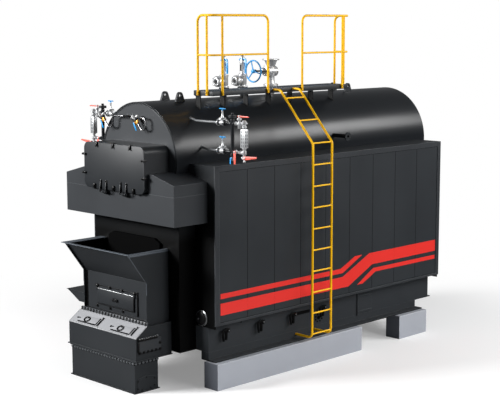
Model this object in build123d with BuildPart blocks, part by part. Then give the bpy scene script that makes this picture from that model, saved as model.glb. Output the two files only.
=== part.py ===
from build123d import *
import math
import os

# A packaged single-drum boiler with a travelling grate, in millimetres.
# X runs across, Y runs from the fuel hopper to the rear, Z is up.
# The origin is on the floor, under the middle of the overall length.

# Casing, the insulated body that carries the drum
casing_width = 2590
casing_length = 4910
casing_bottom = 818
casing_height = 2190
frame_width = 75
frame_proud = 20
frame_rise = 42
panel_thickness = 12
panel_count = 9
panel_gap = 5

# Chassis under the casing, with its two sills and four plinths
chassis_inset = 145
chassis_length = 4830
chassis_flange_reach = 65
chassis_flange_thickness = 12
sill_width = 143
sill_height = 118
sill_length = 4500
sill_flange_reach = 136
sill_flange_thickness = 18
plinth_height = 363
plinth_width = 265
plinth_proud = 226
plinth_chamfer = 6
plinth_front_start = -45
plinth_front_length = 2970
plinth_rear_start = 3825
plinth_rear_length = 682

# Drum
drum_diameter = 1594
drum_axis = 3013
drum_wall = 20
drum_front_reach = 222
drum_rear_reach = 224
head_thickness = 24
seat_gap = 0.4
pin_gap = 0.1

# Header box and smoke box in front of the drum
header_width = 2294
header_depth = 588
header_bottom = 2249
header_shoulder_z = 2792
shoulder_run = 420
shoulder_rise = 112
smoke_box_width = 1270
smoke_box_bottom = 2640
smoke_box_top = 3258
smoke_box_front = 640
smoke_box_wall = 16
smoke_box_radius = 88
door_thickness = 14
door_margin = 7
door_gap = 1
door_pin_drop = 30
door_pin_proud = 14
door_pin_diameter = 18
hinge_offset = 214
hinge_strap_width = 16
hinge_strap_gap = 120
hinge_strap_height = 130
hinge_bracket_width = 44

# Neck between the header box and the grate, and the feed chute on it
neck_width = 1800
neck_depth = 290
chute_width = 1360
chute_reach = 680
chute_break = 1460
plate = 12
chute_recess = 30
hopper_reach = 985
hopper_top = 1870
rim_width = 45
rim_thickness = 8
side_rim_width = 95
gate_width = 1100
gate_top = 1992
gate_bevel_run = 110
gate_bevel_rise = 55
gate_offset = 40
feed_door_width = 800
feed_door_height = 216
feed_door_top = 1236
feed_door_lap = 16
feed_door_thickness = 8
feed_pin_diameter = 16
feed_ear_width = 14

# Grate front housing with its sloped cover, and the ash box under it
housing_width = 1456
housing_reach = 911
housing_bottom = 442
cover_foot = 753
cover_top = 890
cover_top_reach = 714
cover_thickness = 10
housing_wall = 10
flange_proud = 18
flange_thickness = 12
lid_width = 416
lid_length = 123
lid_thickness = 8
lid_lap = 12
lid_pin_diameter = 14
lid_ear_width = 10
lid_shift = 20
lid_start = 30
lid_ring_diameter = 60
lid_ring_thickness = 9
lid_ring_shift = 55
ash_box_width = 1370
ash_box_reach = 902
ash_box_depth = 402
ash_door_front = 865
ash_door_length = 315
ash_door_foot = 22
ash_door_spring = 180
ash_door_crown = 211
ash_door_thickness = 8
hatch_length = 384
hatch_height = 172
hatch_bottom = 556
hatch_front = 868
hatch_thickness = 10
guard_reach = 627
guard_rise = 78
guard_foot_width = 181
guard_top_width = 454
guard_height = 139
guard_lip = 10

# Platform, railings and ladder
deck_inner = 313
deck_outer = 700
deck_start = 527
deck_length = 2798
deck_bottom = 3880
deck_thickness = 70
deck_plate = 6
deck_flange = 42
support_count = 7
support_thickness = 14
support_flange = 50
support_flange_thickness = 8
support_inset = 20
support_width = 96
tube_diameter = 34
post_tube_diameter = 33
mid_tube_diameter = 27
rail_height = 1025
mid_rail_height = 487
rail_radius = 95
end_post_far = 421
end_post_near = 604
post_foot_rise = 6
post_c = 695
post_d = 1584
post_e = 2295
post_g = 3180
ladder_y = 1924
ladder_width = 378
ladder_stand_off = 171
ladder_knee = 3198
ladder_top_run = 130
ladder_foot = 430
ladder_bend = 70
ladder_head_rise = 46
rung_first = 480
rung_pitch = 303
rung_diameter = 22

# Fittings on the drum
safety_valve_y = (1404, 1780)
steam_valve_y = 2375
valve_flange_z = 3940
valve_flange = 150
valve_flange_thickness = 15
valve_stub = 76
valve_body = 118
valve_body_height = 172
valve_bonnet = 80
valve_cap = 66
valve_cap_height = 66
valve_cap_z = 4402
valve_outlet = 92
valve_outlet_z = 4034
valve_outlet_reach = 172
valve_outlet_flange = 158
valve_outlet_bore = 78
valve_outlet_depth = 70
steam_axis_z = 4161
steam_top_z = 4336
steam_neck = 104
steam_body = 204
steam_inlet_flange = 220
steam_outlet_flange = 256
steam_flange_thickness = 20
steam_bore = 100
steam_bore_depth = 120
steam_bolt_circle = 210
steam_bolt_count = 8
steam_bolt_hole = 18
steam_bonnet_reach = 190
steam_bonnet_flange = 140
steam_spindle = 26
steam_spindle_reach = 392
yoke_reach = 343
yoke_half = 44
yoke_bar = 16
wheel_diameter = 334
wheel_rim = 19
wheel_spoke = 14
wheel_hub = 50
wheel_hub_length = 32
wheel_end = 6
wheel_spokes = 3
lug_x = 155
lug_y = (407, 3960)
lug_thickness = 36
lug_foot = 165
lug_radius = 48
lug_eye_diameter = 46
lug_eye_height = 82
nozzle_y = 2934
nozzle_z = 3200
nozzle_reach = 1060
nozzle_pipe = 60
nozzle_flange = 125
nozzle_flange_thickness = 16
nozzle_bolt_circle = 94
nozzle_bolt_count = 4
nozzle_bolt_hole = 14
nozzle_bore = 40
nozzle_bore_depth = 150
gauge_y = 250
gauge_upper = 3585
gauge_lower = 3213
gauge_valve_x = 1180
gauge_column_x = 1370
gauge_glass_x = 1590
gauge_pipe = 32
gauge_valve_body = 74
gauge_valve_half = 48
gauge_flange = 84
gauge_flange_thickness = 14
gauge_stem = 14
gauge_wheel = 92
gauge_wheel_height = 170
gauge_column = 54
gauge_column_tail = 80
gauge_column_head = 84
gauge_cap = 118
gauge_cap_thickness = 22
gauge_cock = 58
gauge_glass_width = 72
gauge_glass_depth = 62
gauge_glass_height = 236
gauge_drain = 150
gauge_upper_handle = 310
gauge_lower_handle = 275
gauge_handle_start = 110
gauge_handle_width = 22
gauge_handle_thickness = 8
gauge_handle_rise = 100
gauge_handle_drop = 48
siphon_pipe = 24
siphon_bend = 45
siphon_reach = 72
siphon_rise = 598
left_siphon = ((-200, 0), (-440, -6), (-460, -160), (-560, -160), (-672, -32))
left_dial = (-690, -10)
right_siphon = ((110, 0), (240, -12), (248, -156), (160, -172), (58, -32))
right_dial = (42, -8)
dial_diameter = 104
dial_thickness = 36
port_x = 1022
port_z = 936
port_diameter = 224
port_thickness = 28
port_rim = 22

# Skirt fittings
lever_y = (322, 998, 1652, 2286)
lever_z = 738
lever_boss_diameter = 56
lever_boss_length = 22
lever_shaft_diameter = 26
lever_reach = 44
lever_length = 146
lever_leg_width = 22
lever_leg_gap = 16
lever_horn = 92
lever_shoulder = 22
lever_thickness = 12
skirt_door_y = 3080
skirt_door_length = 315
skirt_door_bottom = 497
skirt_door_height = 286
skirt_door_thickness = 10
skirt_door_lap = 16
skirt_pocket_depth = 420
skirt_strap_width = 26
skirt_strap_thickness = 8
skirt_pin_diameter = 18
skirt_knuckle_height = 22
skirt_knuckle_gap = 2

# Places that follow from the sizes above
chute_bottom = cover_top
siphon_height = drum_axis + siphon_rise
y0 = (hopper_reach - casing_length - drum_rear_reach) / 2
casing_top = casing_bottom + casing_height
frame_bottom = casing_bottom + frame_rise
casing_half = casing_width / 2
core_half = casing_half - frame_proud
chassis_half = casing_half - chassis_inset
chassis_width = 2 * chassis_half
plinth_outer = chassis_half + plinth_proud
chassis_bottom = plinth_height + sill_height
drum_radius = drum_diameter / 2
drum_length = casing_length + drum_front_reach + drum_rear_reach
deck_top = deck_bottom + deck_thickness
chute_half = chute_width / 2
cover_run = housing_reach - cover_top_reach
cover_rise = cover_top - cover_foot
cover_slope = math.degrees(math.atan2(cover_rise, cover_run))
cover_length = math.hypot(cover_run, cover_rise)

os.makedirs("parts", exist_ok=True)


def save(piece, name):
    """Label a finished piece and write it as its own file."""
    piece.label = name
    export_step(piece, f"parts/{name}.step")


def y_at(distance):
    """Place along Y of a distance measured back from the casing front."""
    return y0 + distance


def drum_surface_z(x):
    """Height of the drum's upper surface at a distance from its axis."""
    return drum_axis + math.sqrt(drum_radius**2 - x**2)


# Plinths: concrete blocks under the two sills, one long and one short a side
def plinth_pair(start, length):
    with BuildPart() as blocks:
        with BuildSketch():
            for side in (-1, 1):
                with Locations((side * (plinth_outer - plinth_width / 2), y_at(start + length / 2))):
                    Rectangle(plinth_width, length)
        extrude(amount=plinth_height)
        chamfer(blocks.edges().group_by(Axis.Z)[-1], length=plinth_chamfer)
    return blocks.part


save(plinth_pair(plinth_front_start, plinth_front_length), "plinths_front")
save(plinth_pair(plinth_rear_start, plinth_rear_length), "plinths_rear")

# Chassis: the closed grate box under the casing, with a flange at its rear foot, a
# cleaning pocket behind the skirt door, its hinge knuckles, and a bearing boss for each
# air damper lever
skirt_pin_x = chassis_half + skirt_pin_diameter / 2 + 2
skirt_pin_y = skirt_door_y - skirt_pin_diameter / 2 - 2
skirt_door_middle = skirt_door_bottom + skirt_door_height / 2
skirt_pin_length = skirt_door_height + 2 * (skirt_knuckle_height + skirt_knuckle_gap)
knuckle_places = [
    skirt_door_middle + step * (skirt_pin_length / 2 - skirt_knuckle_height / 2) for step in (-1, 1)
]
with BuildPart() as chassis:
    with BuildSketch(Plane.XY.offset(chassis_bottom)):
        with Locations((0, y_at(chassis_length / 2))):
            Rectangle(chassis_width, chassis_length)
    extrude(amount=casing_bottom - chassis_bottom)
    with BuildSketch(Plane.XY.offset(chassis_bottom)):
        with Locations((0, y_at(chassis_length + chassis_flange_reach / 2))):
            Rectangle(chassis_width, chassis_flange_reach)
    extrude(amount=chassis_flange_thickness)
    with BuildSketch(Plane.YZ.offset(chassis_half)):
        with Locations((y_at(skirt_door_y + skirt_door_length / 2), skirt_door_middle)):
            Rectangle(skirt_door_length - 2 * skirt_door_lap, skirt_door_height - 2 * skirt_door_lap)
    extrude(amount=-skirt_pocket_depth, mode=Mode.SUBTRACT)
    for z in knuckle_places:
        with BuildSketch(Plane.XY.offset(z - skirt_knuckle_height / 2)):
            with Locations((skirt_pin_x, y_at(skirt_pin_y))):
                Circle(skirt_pin_diameter * 0.6)
            with Locations(((chassis_half + skirt_pin_x) / 2, y_at(skirt_pin_y))):
                Rectangle(skirt_pin_x - chassis_half, skirt_pin_diameter * 1.2)
        extrude(amount=skirt_knuckle_height)
    with BuildSketch(Plane.YZ.offset(chassis_half)):
        for distance in lever_y:
            with Locations((y_at(distance), lever_z)):
                Circle(lever_boss_diameter / 2)
    extrude(amount=lever_boss_length)
    with BuildSketch(Plane.XY.offset(knuckle_places[0] - skirt_knuckle_height)):
        with Locations((skirt_pin_x, y_at(skirt_pin_y))):
            Circle(skirt_pin_diameter / 2 + pin_gap)
    extrude(amount=skirt_pin_length + skirt_knuckle_height, mode=Mode.SUBTRACT)
    with BuildSketch(Plane.YZ.offset(chassis_half + lever_boss_length)):
        for distance in lever_y:
            with Locations((y_at(distance), lever_z)):
                Circle(lever_shaft_diameter / 2 + pin_gap)
    extrude(amount=-2 * lever_boss_length, mode=Mode.SUBTRACT)
save(chassis.part, "grate_chassis")

# Sills: the two long beams that carry the chassis on the plinths, each with a foot flange
with BuildPart() as sills:
    with BuildSketch(Plane.XZ.offset(-y_at(0))):
        for side in (-1, 1):
            with Locations((side * (chassis_half - sill_width / 2), plinth_height + sill_height / 2)):
                Rectangle(sill_width, sill_height)
            with Locations((
                side * (chassis_half + sill_flange_reach / 2),
                plinth_height + sill_flange_thickness / 2,
            )):
                Rectangle(sill_flange_reach, sill_flange_thickness)
    extrude(amount=-sill_length)
save(sills.part, "sills")

# Skirt door: the cleaning door on the right of the chassis, on an upright pin
with BuildPart() as skirt_door:
    with BuildSketch(Plane.YZ.offset(chassis_half + 1)):
        with Locations((y_at(skirt_door_y + skirt_door_length / 2), skirt_door_middle)):
            Rectangle(skirt_door_length, skirt_door_height)
    extrude(amount=skirt_door_thickness)
    with BuildSketch(Plane.YZ.offset(chassis_half + 1 + skirt_door_thickness)):
        for step in (-1, 1):
            place = skirt_door_middle + step * (skirt_door_height / 2 - skirt_strap_width)
            with Locations((y_at(skirt_door_y + skirt_door_length / 2), place)):
                Rectangle(skirt_door_length, skirt_strap_width)
    extrude(amount=skirt_strap_thickness)
    with BuildSketch(Plane.XY.offset(skirt_door_middle - skirt_pin_length / 2)):
        with Locations((skirt_pin_x, y_at(skirt_pin_y))):
            Circle(skirt_pin_diameter / 2)
    extrude(amount=skirt_pin_length)
    with BuildSketch(Plane.XY.offset(skirt_door_bottom)):
        with Locations((skirt_pin_x, y_at(skirt_door_y))):
            Rectangle(skirt_pin_diameter / 2, skirt_pin_diameter)
    extrude(amount=skirt_door_height)
save(skirt_door.part, "skirt_door")


# Damper levers: a forked handle of flat bar on the end of each air damper shaft
lever_outline = (
    (lever_leg_width, 0),
    (lever_leg_width, -lever_length),
    (0, -lever_length),
    (0, -lever_shoulder),
    (lever_leg_width - lever_horn, -lever_shoulder),
    (-lever_leg_gap, -lever_length),
    (-lever_leg_gap - lever_leg_width, -lever_length),
    (-lever_horn, -lever_shoulder),
    (-lever_horn + lever_leg_width, lever_shoulder / 2),
    (0, lever_shaft_diameter),
)


def damper_lever(distance):
    with BuildPart() as lever:
        with BuildSketch(Plane.YZ.offset(chassis_half + 2)):
            with Locations((y_at(distance), lever_z)):
                Circle(lever_shaft_diameter / 2)
        extrude(amount=lever_reach)
        with BuildSketch(Plane.YZ.offset(chassis_half + 2 + lever_reach)):
            with Locations((y_at(distance), lever_z)):
                Circle(lever_shaft_diameter)
            with BuildLine():
                Polyline([(y_at(distance) + y, lever_z + z) for y, z in lever_outline], close=True)
            make_face()
        extrude(amount=lever_thickness)
    return lever.part


for number, distance in enumerate(lever_y, start=1):
    save(damper_lever(distance), f"damper_lever_{number}")

# Casing core: the insulated box, with a round seat for the drum along its top and its
# lower edges set back to the chassis under the side frames
with BuildPart() as core:
    with BuildSketch(Plane.XY.offset(casing_bottom)):
        with Locations((0, y_at(casing_length / 2))):
            Rectangle(2 * core_half, casing_length - 2 * frame_proud)
    extrude(amount=casing_height)
    with BuildSketch(Plane.XZ.offset(-y_at(0))) as seat:
        with Locations((0, drum_axis)):
            Circle(drum_radius + seat_gap)
    extrude(amount=-casing_length, mode=Mode.SUBTRACT)
    with BuildSketch(Plane.XZ.offset(-y_at(0))):
        for side in (-1, 1):
            with Locations((side * (chassis_half + core_half) / 2, casing_bottom + frame_rise / 2)):
                Rectangle(core_half - chassis_half, frame_rise)
    extrude(amount=-casing_length, mode=Mode.SUBTRACT)
save(core.part, "casing_core")


# Side cladding: a raised frame round nine upright sheets, the same on each side
def side_frame(side):
    with BuildPart() as frame:
        with BuildSketch(Plane.YZ.offset(side * core_half)):
            with Locations((y_at(casing_length / 2), (frame_bottom + casing_top) / 2)):
                Rectangle(casing_length, casing_top - frame_bottom)
            with Locations((y_at(casing_length / 2), casing_bottom + casing_height / 2)):
                Rectangle(
                    casing_length - 2 * frame_width,
                    casing_height - 2 * frame_width,
                    mode=Mode.SUBTRACT,
                )
        extrude(amount=side * frame_proud)
    return frame.part


def side_panels(side):
    pitch = (casing_length - 2 * frame_width) / panel_count
    with BuildPart() as panels:
        with BuildSketch(Plane.YZ.offset(side * core_half)):
            with Locations((y_at(casing_length / 2), casing_bottom + casing_height / 2)):
                with GridLocations(pitch, 0, panel_count, 1):
                    Rectangle(pitch - panel_gap, casing_height - 2 * frame_width - panel_gap)
        extrude(amount=side * panel_thickness)
    return panels.part


for side, side_name in ((1, "right"), (-1, "left")):
    save(side_frame(side), f"side_frame_{side_name}")
    save(side_panels(side), f"side_panels_{side_name}")


# End cladding: plain frames on the front and rear of the core, cut round the drum
def end_wall(start, thickness):
    with BuildPart() as wall:
        with BuildSketch(Plane.XZ.offset(-y_at(start))):
            with Locations((0, casing_bottom + casing_height / 2)):
                Rectangle(2 * core_half, casing_height)
            with Locations((0, drum_axis)):
                Circle(drum_radius + seat_gap, mode=Mode.SUBTRACT)
        extrude(amount=-thickness)
    return wall.part


save(end_wall(0, frame_proud), "front_wall")
save(end_wall(casing_length - frame_proud, frame_proud), "rear_wall")

# Drum: a rolled shell with a flat head in each end
with BuildPart() as shell:
    with BuildSketch(Plane.XZ.offset(-y_at(-drum_front_reach))):
        with Locations((0, drum_axis)):
            Circle(drum_radius)
            Circle(drum_radius - drum_wall, mode=Mode.SUBTRACT)
    extrude(amount=-drum_length)
save(shell.part, "drum_shell")


def drum_head(start):
    with BuildPart() as head:
        with BuildSketch(Plane.XZ.offset(-y_at(start))):
            with Locations((0, drum_axis)):
                Circle(drum_radius - drum_wall - seat_gap)
        extrude(amount=-head_thickness)
    return head.part


save(drum_head(-drum_front_reach), "drum_front_head")
save(drum_head(casing_length + drum_rear_reach - head_thickness), "drum_rear_head")


# Smoke box: a rounded tube from the drum head out through the header box
def smoke_box_outline(margin, mode=Mode.ADD):
    """Rounded rectangle of the smoke box, larger all round by a margin."""
    with Locations((0, (smoke_box_bottom + smoke_box_top) / 2)):
        RectangleRounded(
            smoke_box_width + 2 * margin,
            smoke_box_top - smoke_box_bottom + 2 * margin,
            smoke_box_radius + margin,
            mode=mode,
        )


with BuildPart() as smoke_box:
    with BuildSketch(Plane.XZ.offset(-y_at(-smoke_box_front))):
        smoke_box_outline(0)
        smoke_box_outline(-smoke_box_wall, Mode.SUBTRACT)
    extrude(amount=-(smoke_box_front - drum_front_reach))
save(smoke_box.part, "smoke_box")


def drum_seat():
    """Cut the drum's nose, with its seat clearance, out of the current part."""
    with BuildSketch(Plane.XZ.offset(-y_at(-drum_front_reach))) as seat:
        with Locations((0, drum_axis)):
            Circle(drum_radius + seat_gap)
    extrude(seat.sketch, amount=-drum_front_reach, mode=Mode.SUBTRACT)


# Header box: a wide box under the smoke box, with a sloping shoulder on each side of it
with BuildPart() as header:
    with BuildSketch(Plane.XY.offset(header_bottom)):
        with Locations((0, y_at(-header_depth / 2))):
            Rectangle(header_width, header_depth)
    extrude(amount=smoke_box_bottom - seat_gap - header_bottom)
    drum_seat()
save(header.part, "header_box")


shoulder_inner = smoke_box_width / 2 + seat_gap
with BuildPart() as shoulders:
    with BuildSketch(Plane.XZ.offset(-y_at(-header_depth))):
        for side in (-1, 1):
            with BuildLine():
                Polyline(
                    (side * shoulder_inner, smoke_box_bottom - seat_gap),
                    (side * header_width / 2, smoke_box_bottom - seat_gap),
                    (side * header_width / 2, header_shoulder_z),
                    (side * (header_width / 2 - shoulder_run), header_shoulder_z + shoulder_rise),
                    (side * shoulder_inner, header_shoulder_z + shoulder_rise),
                    close=True,
                )
            make_face()
    extrude(amount=-header_depth)
    drum_seat()
save(shoulders.part, "header_shoulders")

# Smoke box door: a flat plate on two bottom hinges, with straps down its face
door_bottom = smoke_box_bottom - door_margin
door_top = smoke_box_top + door_margin
door_back = smoke_box_front + door_gap
door_face = door_back + door_thickness
door_pin_y = door_face + door_pin_proud
door_pin_z = door_bottom - door_pin_drop
hinge_straps = [
    side * hinge_offset + step
    for side in (-1, 1)
    for step in (-hinge_strap_gap / 2, hinge_strap_gap / 2)
]
with BuildPart() as door:
    with BuildSketch(Plane.XZ.offset(-y_at(-door_back))):
        smoke_box_outline(door_margin)
    extrude(amount=door_thickness)
    for x in hinge_straps:
        with BuildSketch(Plane.YZ.offset(x - hinge_strap_width / 2)):
            with BuildLine():
                Polyline(
                    (y_at(-door_face), door_bottom + hinge_strap_height),
                    (y_at(-door_face), door_bottom),
                    (y_at(-door_pin_y), door_pin_z - door_pin_diameter),
                    (y_at(-door_pin_y) - door_pin_diameter, door_pin_z),
                    (y_at(-door_face) - door_thickness, door_bottom + hinge_strap_height),
                    close=True,
                )
            make_face()
        extrude(amount=hinge_strap_width)
    with BuildSketch(Plane.YZ.offset(-header_width / 2)):
        with Locations((y_at(-door_pin_y), door_pin_z)):
            Circle(door_pin_diameter / 2 + pin_gap)
    extrude(amount=header_width, mode=Mode.SUBTRACT)
save(door.part, "smoke_box_door")


# Door hinges: a bracket on the header box between each pair of straps, with its pin
hinge_ear = 2 * door_pin_diameter
with BuildPart() as hinges:
    for side in (-1, 1):
        with BuildSketch(Plane.YZ.offset(side * hinge_offset - hinge_bracket_width / 2)):
            with BuildLine():
                Polyline(
                    (y_at(-header_depth), door_pin_z + hinge_ear / 2),
                    (y_at(-header_depth), door_pin_z - 1.5 * hinge_ear),
                    (y_at(-door_pin_y), door_pin_z - hinge_ear / 2),
                    (y_at(-door_pin_y) - hinge_ear / 2, door_pin_z),
                    (y_at(-door_pin_y), door_pin_z + door_pin_diameter * 0.8),
                    close=True,
                )
            make_face()
        extrude(amount=hinge_bracket_width)
        with BuildSketch(Plane.YZ.offset(side * hinge_offset - hinge_strap_gap / 2 - hinge_strap_width)):
            with Locations((y_at(-door_pin_y), door_pin_z)):
                Circle(door_pin_diameter / 2)
        extrude(amount=hinge_strap_gap + 2 * hinge_strap_width)
save(hinges.part, "door_hinges")

# Neck: the front wall box from the grate up to the header box
with BuildPart() as neck:
    with BuildSketch(Plane.XY.offset(chassis_bottom)):
        with Locations((0, y_at(-neck_depth / 2))):
            Rectangle(neck_width, neck_depth)
    extrude(amount=header_bottom - chassis_bottom)
    drum_seat()
save(neck.part, "front_neck")


# Feed chute: two upright cheeks that carry the front plate and the hopper
def chute_cheek(side):
    with BuildPart() as cheek:
        with BuildSketch(Plane.YZ.offset(side * chute_half)):
            with BuildLine():
                Polyline(
                    (y_at(-neck_depth), chute_bottom),
                    (y_at(-neck_depth), hopper_top),
                    (y_at(-hopper_reach), hopper_top),
                    (y_at(-chute_reach), chute_break),
                    (y_at(-chute_reach), chute_bottom),
                    close=True,
                )
            make_face()
        extrude(amount=-side * plate)
    return cheek.part


save(chute_cheek(1), "chute_cheek_right")
save(chute_cheek(-1), "chute_cheek_left")

chute_face = chute_reach - chute_recess
feed_pin_y = chute_face + 1 + feed_pin_diameter / 2
feed_pin_z = feed_door_top
chute_inner = 2 * (chute_half - plate)
with BuildPart() as chute_front:
    with BuildSketch(Plane.XZ.offset(-y_at(-chute_face))):
        with Locations((0, (chute_bottom + chute_break) / 2)):
            Rectangle(chute_inner, chute_break - chute_bottom)
        with Locations((0, feed_door_top - feed_door_height / 2)):
            Rectangle(
                feed_door_width - 2 * feed_door_lap,
                feed_door_height - 2 * feed_door_lap,
                mode=Mode.SUBTRACT,
            )
    extrude(amount=-plate)
    for side in (-1, 1):
        with BuildSketch(Plane.YZ.offset(side * (feed_door_width / 2 + 1))):
            with BuildLine():
                Polyline(
                    (y_at(-chute_face), feed_pin_z - feed_pin_diameter),
                    (y_at(-feed_pin_y) - feed_pin_diameter, feed_pin_z - feed_pin_diameter),
                    (y_at(-feed_pin_y) - feed_pin_diameter, feed_pin_z + feed_pin_diameter),
                    (y_at(-chute_face), feed_pin_z + 2 * feed_pin_diameter),
                    close=True,
                )
            make_face()
            with Locations((y_at(-feed_pin_y), feed_pin_z)):
                Circle(feed_pin_diameter / 2 + pin_gap, mode=Mode.SUBTRACT)
        extrude(amount=side * feed_ear_width)
save(chute_front.part, "chute_front")

hopper_run = hopper_reach - chute_reach
with BuildPart() as hopper_front:
    with BuildSketch(Plane.YZ.offset(-chute_inner / 2)):
        with BuildLine():
            Polyline(
                (y_at(-chute_face), chute_break),
                (y_at(-chute_face - hopper_run), hopper_top),
                (y_at(-chute_face - hopper_run) + plate * 1.25, hopper_top),
                (y_at(-chute_face) + plate * 1.25, chute_break),
                close=True,
            )
        make_face()
    extrude(amount=chute_inner)
save(hopper_front.part, "hopper_front")

# Feed gate: the upright plate at the back of the hopper, with cut corners
with BuildPart() as gate:
    with BuildSketch(Plane.XZ.offset(-y_at(-neck_depth - gate_offset))):
        with BuildLine():
            Polyline(
                (-gate_width / 2, chute_break),
                (gate_width / 2, chute_break),
                (gate_width / 2, gate_top - gate_bevel_rise),
                (gate_width / 2 - gate_bevel_run, gate_top),
                (-gate_width / 2 + gate_bevel_run, gate_top),
                (-gate_width / 2, gate_top - gate_bevel_rise),
                close=True,
            )
        make_face()
    extrude(amount=-gate_offset)
save(gate.part, "feed_gate")

# Hopper rim: a flat bar frame on top of the plates, wider on the left
rim_inner_half = chute_half - rim_width
with BuildPart() as rim:
    with BuildSketch(Plane.XY.offset(hopper_top)):
        with BuildLine():
            Polyline(
                (-chute_half - side_rim_width, y_at(-hopper_reach)),
                (chute_half, y_at(-hopper_reach)),
                (chute_half, y_at(-neck_depth)),
                (-chute_half - side_rim_width, y_at(-neck_depth)),
                close=True,
            )
        make_face()
        with BuildLine():
            Polyline(
                (-rim_inner_half, y_at(-hopper_reach + rim_width)),
                (rim_inner_half, y_at(-hopper_reach + rim_width)),
                (rim_inner_half, y_at(-neck_depth)),
                (-rim_inner_half, y_at(-neck_depth)),
                close=True,
            )
        make_face(mode=Mode.SUBTRACT)
    extrude(amount=rim_thickness)
save(rim.part, "hopper_rim")

# Feed door: a flap on a long pin along its top edge, over the hole in the chute
feed_pin_length = feed_door_width + 2 + 2 * feed_ear_width
with BuildPart() as feed_door:
    with BuildSketch(Plane.XZ.offset(-y_at(-chute_face - 1))):
        with Locations((0, feed_door_top - feed_door_height / 2)):
            Rectangle(feed_door_width, feed_door_height)
    extrude(amount=feed_door_thickness)
    with BuildSketch(Plane.YZ.offset(-feed_pin_length / 2)):
        with Locations((y_at(-feed_pin_y), feed_pin_z)):
            Circle(feed_pin_diameter / 2)
    extrude(amount=feed_pin_length)
save(feed_door.part, "feed_door")

# Grate front housing: a welded box with a sloped, open front top
with BuildPart() as housing:
    with BuildSketch(Plane.YZ.offset(-housing_width / 2)):
        with BuildLine():
            Polyline(
                (y_at(-neck_depth), housing_bottom),
                (y_at(-housing_reach), housing_bottom),
                (y_at(-housing_reach), cover_foot),
                (y_at(-cover_top_reach), cover_top),
                (y_at(-neck_depth), cover_top),
                close=True,
            )
        make_face()
    extrude(amount=housing_width)
    with BuildSketch(Plane.YZ.offset(-housing_width / 2 + housing_wall)):
        with BuildLine():
            Polyline(
                (y_at(-neck_depth) - housing_wall, housing_bottom + housing_wall),
                (y_at(-housing_reach) + housing_wall, housing_bottom + housing_wall),
                (y_at(-housing_reach) + housing_wall, cover_top),
                (y_at(-cover_top_reach), cover_top),
                (y_at(-cover_top_reach), cover_top - housing_wall),
                (y_at(-neck_depth) - housing_wall, cover_top - housing_wall),
                close=True,
            )
        make_face()
    extrude(amount=housing_width - 2 * housing_wall, mode=Mode.SUBTRACT)
    with BuildSketch(Plane.XY.offset(housing_bottom)):
        with Locations((0, y_at(-(housing_reach + neck_depth) / 2) - flange_proud / 2)):
            Rectangle(housing_width + 2 * flange_proud, housing_reach - neck_depth + flange_proud)
        with Locations((0, y_at(-(housing_reach + neck_depth) / 2))):
            Rectangle(
                housing_width - 2 * housing_wall,
                housing_reach - neck_depth - 2 * housing_wall,
                mode=Mode.SUBTRACT,
            )
    extrude(amount=flange_thickness)
save(housing.part, "grate_front")

# Sloped cover: a plate over the housing's open top, with two inspection holes
# and a pair of hinge ears beside each hole
cover_plane = Plane(
    origin=(0, y_at(-housing_reach), cover_foot),
    x_dir=(1, 0, 0),
    z_dir=(0, -math.sin(math.radians(cover_slope)), math.cos(math.radians(cover_slope))),
)
lid_places = [
    (side * housing_width / 4 + lid_shift, lid_start + lid_length / 2) for side in (-1, 1)
]
lid_pin_x = lid_width / 2 + lid_pin_diameter / 2
lid_pin_z = cover_thickness + 1 + lid_pin_diameter / 2


def across_cover(x, y):
    """Plane square to the sloped cover's length, at a point of the cover."""
    return Plane(
        origin=cover_plane.from_local_coords((x, y, 0)),
        x_dir=cover_plane.x_dir,
        z_dir=cover_plane.y_dir,
    )


with BuildPart() as cover:
    with BuildSketch(cover_plane):
        with Locations((0, cover_length / 2)):
            Rectangle(housing_width, cover_length)
        with Locations(*lid_places):
            Rectangle(lid_width - 2 * lid_lap, lid_length - 2 * lid_lap, mode=Mode.SUBTRACT)
    extrude(amount=cover_thickness)
    for x, y in lid_places:
        for step in (-1, 1):
            start = y + step * (lid_length / 2 + 1)
            with BuildSketch(across_cover(x + lid_pin_x, start)):
                with Locations((0, -lid_pin_z / 2 - lid_pin_diameter / 4)):
                    Rectangle(2 * lid_pin_diameter, lid_pin_z + lid_pin_diameter / 2)
                with Locations((0, -lid_pin_z)):
                    Circle(lid_pin_diameter)
                    Circle(lid_pin_diameter / 2 + pin_gap, mode=Mode.SUBTRACT)
            extrude(amount=step * lid_ear_width)
save(cover.part, "sloped_cover")


# Inspection lids: each on a hinge pin along its right edge, with a ring handle
def inspection_lid(place):
    x, y = place
    with BuildPart() as lid:
        with BuildSketch(cover_plane.offset(cover_thickness + 1)):
            with Locations((x, y)):
                Rectangle(lid_width, lid_length)
        extrude(amount=lid_thickness)
        with BuildSketch(across_cover(x + lid_pin_x, y - lid_length / 2 - 1 - lid_ear_width)):
            with Locations((0, -lid_pin_z)):
                Circle(lid_pin_diameter / 2)
        extrude(amount=lid_length + 2 + 2 * lid_ear_width)
        with BuildSketch(across_cover(x + lid_width / 2, y - lid_length / 2)):
            with Locations((0, -cover_thickness - 1 - lid_thickness / 2)):
                Rectangle(lid_pin_diameter, lid_thickness)
        extrude(amount=lid_length)
        with Locations(cover_plane.offset(cover_thickness + 1 + lid_thickness)):
            with Locations((x - lid_ring_shift, y)):
                Torus(lid_ring_diameter / 2, lid_ring_thickness / 2)
    return lid.part


save(inspection_lid(lid_places[0]), "inspection_lid_left")
save(inspection_lid(lid_places[1]), "inspection_lid_right")


# Side hatches: bolted covers on both sides of the housing
with BuildPart() as hatches:
    for side in (-1, 1):
        with BuildSketch(Plane.YZ.offset(side * housing_width / 2)):
            with Locations((y_at(-hatch_front + hatch_length / 2), hatch_bottom + hatch_height / 2)):
                Rectangle(hatch_length, hatch_height)
        extrude(amount=side * hatch_thickness)
save(hatches.part, "side_hatches")

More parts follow.
